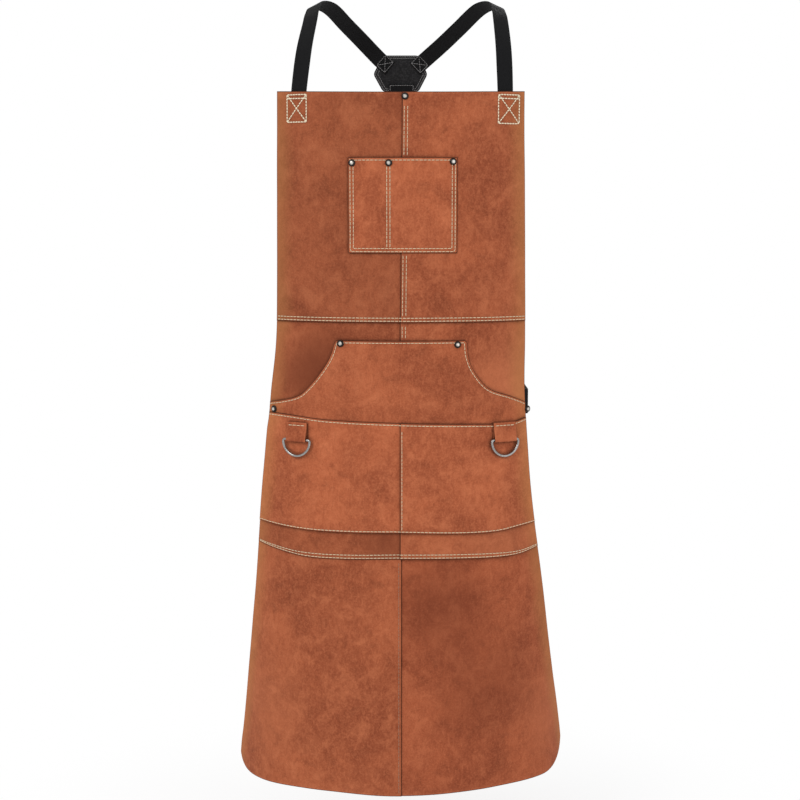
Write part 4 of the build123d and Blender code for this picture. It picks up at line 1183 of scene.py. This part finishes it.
def buckle_part(name, node, body, boxes, bar_x):
    """Buckle half from boxes about the belt's line, with its upright webbing bar."""
    verts, faces = [], []
    for box in boxes:
        bevelled(verts, faces, BELT_LINE, box, 0.9)
    half_bar = 21.75
    bar = [(1.45, -half_bar), (1.45, half_bar)]
    lathe(verts, faces, bar, Vector((bar_x, BELT_Y, BELT_Z)), Vector((0, 0, 1)), 16)
    plastic_part(name, node, body, verts, faces)


def both_edges(*boxes):
    """The boxes and their mirror images across the belt's line."""
    return [(x0, x1, y0, y1, side * z0, side * z1) for side in (-1, 1) for x0, x1, y0, y1, z0, z1 in boxes]


# Socket: two faces, side walls in front of and behind the windows, bar cheeks and grip ribs
socket = [(-88, -50, 3.0, 5.5, -19.5, 19.5), (-88, -50, -5.5, -3.0, -19.5, 19.5)]
socket += both_edges((-88, -76.2, -5.4, 5.4, 19.0, 23.5), (-59.8, -50, -5.4, 5.4, 19.0, 23.5),
                     (-77, -59, 3.0, 5.4, 18.0, 22.3), (-77, -59, -5.4, -3.0, 18.0, 22.3),
                     (-52, -41.2, -2.5, 2.5, 20.0, 23.5))
socket += [(x - 0.6, x + 0.6, 5.2, 6.0, -12, 12) for x in (-57.0, -54.4, -51.8)]
buckle_part("socket_shell", "belt_socket", "apron", socket, SOCKET_BAR)

# Plug: end plate, root blocks, guide tongue and bar cheeks
plug = [(-103, -96.5, -5.4, 5.4, -23.4, 23.4), (-97.5, -88.5, -5.2, 5.2, -11.2, 11.2),
        (-90, -60, -2.2, 2.2, -5, 5)]
plug += both_edges((-97.5, -88.5, -5.2, 5.2, 17.8, 23.2), (-113.8, -101, -2.5, 2.5, 20.0, 23.5))
buckle_part("plug_body", "belt_plug", "plug", plug, PLUG_BAR)


def arm_mesh(side, label):
    """Sprung arm with its barb, as a rounded outline of even thickness."""
    middle = BELT_Z + side * 14.5
    outline = ((-94.6, -1.2), (-93.0, -2.6), (-90.5, -2.2), (-76.0, -2.0), (-62.2, -2.0), (-61.2, -1.0),
               (-61.2, 1.0), (-63.8, 5.6), (-65.5, 7.4), (-68.0, 7.9), (-74.6, 7.9), (-75.4, 7.2),
               (-75.4, 2.6), (-76.2, 2.0), (-90.5, 2.2), (-93.0, 2.6), (-94.6, 1.2))
    outline = [Vector((x, middle + side * z)) for x, z in outline]
    levels = ((-2.25, 0.5), (-1.75, 0.0), (1.75, 0.0), (2.25, 0.5))
    verts, faces = [], []
    for y, inset in levels:
        for k, p in enumerate(outline):
            before, after = outline[k - 1] - p, outline[(k + 1) % len(outline)] - p
            inward = (before.normalized() + after.normalized()) * 0.5
            if (before.x * after.y - before.y * after.x) * side <= 0:
                inward = -inward
            verts.append(Vector((p.x + inward.x * inset, BELT_Y + y, p.y + inward.y * inset)) * MM)
    skin(faces, 0, len(levels), len(outline), side > 0)
    plastic_part(f"arm_{label}_shape", f"plug_arm_{label}", f"{label}_arm", verts, faces)


arm_mesh(1, "upper")
arm_mesh(-1, "lower")


def slider(name, node, body, centre, upright_web, web_width):
    """Three-bar slider: rails at both sides, end bars outside, middle bar inside."""
    rail_at, half_rail = web_width / 2 + 2.05, 1.7
    bar_at, half_bar = 3.65, 1.25
    reach = rail_at + half_rail - 0.6
    # Boxes run (along, along, across, across, out, out) on the web
    boxes = [(-13, 13, side * rail_at - half_rail, side * rail_at + half_rail, -bar_at - half_bar,
              bar_at + half_bar) for side in (-1, 1)]
    boxes += [(u - 2.3, u + 2.3, -reach, reach, bar_at - half_bar, bar_at + 1.1) for u in (-10.5, 10.5)]
    boxes.append((-2.5, 2.5, -reach, reach, -bar_at - 1.1, -bar_at + half_bar))
    verts, faces = [], []
    for u0, u1, v0, v1, w0, w1 in boxes:
        box = (v0, v1, w0, w1, u0, u1) if upright_web else (u0, u1, w0, w1, v0, v1)
        bevelled(verts, faces, Vector(centre), box, 0.8)
    plastic_part(name, node, body, verts, faces)


slider("belt_slider_shape", "belt_slider", "belt_adjuster", (82.0, BELT_Y, BELT_Z), False, BELT_WIDTH)
slider("tail_slider_shape", "tail_slider", "tail_adjuster", (0.0, 137.8, 735.0), True, TAIL_WIDTH)


# ------------------------------------------------------ camera, floor, light
WHITE = (1.0, 1.0, 1.0)
scene = bpy.context.scene
scene.view_settings.view_transform = "Standard"


def place_camera(location, tilt, lens):
    data = bpy.data.cameras.new("camera")
    data.sensor_width = 36.0
    data.lens = lens
    data.clip_end = 50.0
    camera = bpy.data.objects.new("camera", data)
    camera.location = location
    camera.rotation_euler = (radians(tilt), 0.0, 0.0)
    scene.collection.objects.link(camera)
    scene.camera = camera


def white_world(fill):
    """White behind the apron, and a dimmer even light from all around."""
    world = bpy.data.worlds.new("studio")
    scene.world = world
    world.use_nodes = True
    sky = Shader(world.node_tree)
    seen = sky.add("Background", 0, {"Color": WHITE, "Strength": 1.0})
    cast = sky.add("Background", 0, {"Color": WHITE, "Strength": fill})
    camera_ray = sky.add("LightPath", "Is Camera Ray")
    sky.end("OutputWorld", sky.add("MixShader", 0, {0: camera_ray, 1: cast, 2: seen}))


def area(name, size, power, location, target_z):
    """Square lamp aimed at the apron's middle at a height."""
    data = bpy.data.lights.new(name, "AREA")
    data.shape = "SQUARE"
    data.size = size
    data.energy = power
    lamp = bpy.data.objects.new(name, data)
    scene.collection.objects.link(lamp)
    lamp.location = location
    aim = Vector((0.0, 0.0, target_z)) - Vector(location)
    lamp.rotation_euler = aim.to_track_quat("-Z", "Y").to_euler()


def floor(z, half):
    """Pale floor well below the hem, fading to white away from the apron."""
    fin = Finish("floor_pale")
    far = fin.add("VectorMath", "Value", {0: fin.add("TexCoord", "Object")}, operation="LENGTH")
    pale = fin.add("BsdfPrincipled", 0, {"Base Color": (0.86, 0.86, 0.86), "Roughness": 0.9})
    glow = fin.add("Emission", 0, {"Color": WHITE})
    fin.end("OutputMaterial", fin.add("MixShader", 0, {0: fin.remap(far, 0.15, 0.9, 0.55, 1.0),
                                                       1: pale, 2: glow}))
    corners = [(-half, -half, z), (half, -half, z), (half, half, z), (-half, half, z)]
    mesh_object("floor", corners, [(0, 1, 2, 3)], fin.material)


place_camera(location=(-0.0012, -2.64, 0.904), tilt=83.37, lens=75.87)
white_world(fill=0.80)
area("key_light", size=1.6, power=34.0, location=(-1.5, -2.2, 2.3), target_z=0.6)
area("fill_light", size=2.0, power=12.0, location=(1.9, -2.0, 1.2), target_z=0.6)
area("rim_light", size=1.4, power=16.0, location=(0.6, 2.2, 2.2), target_z=0.8)
floor(z=-0.16, half=9.0)
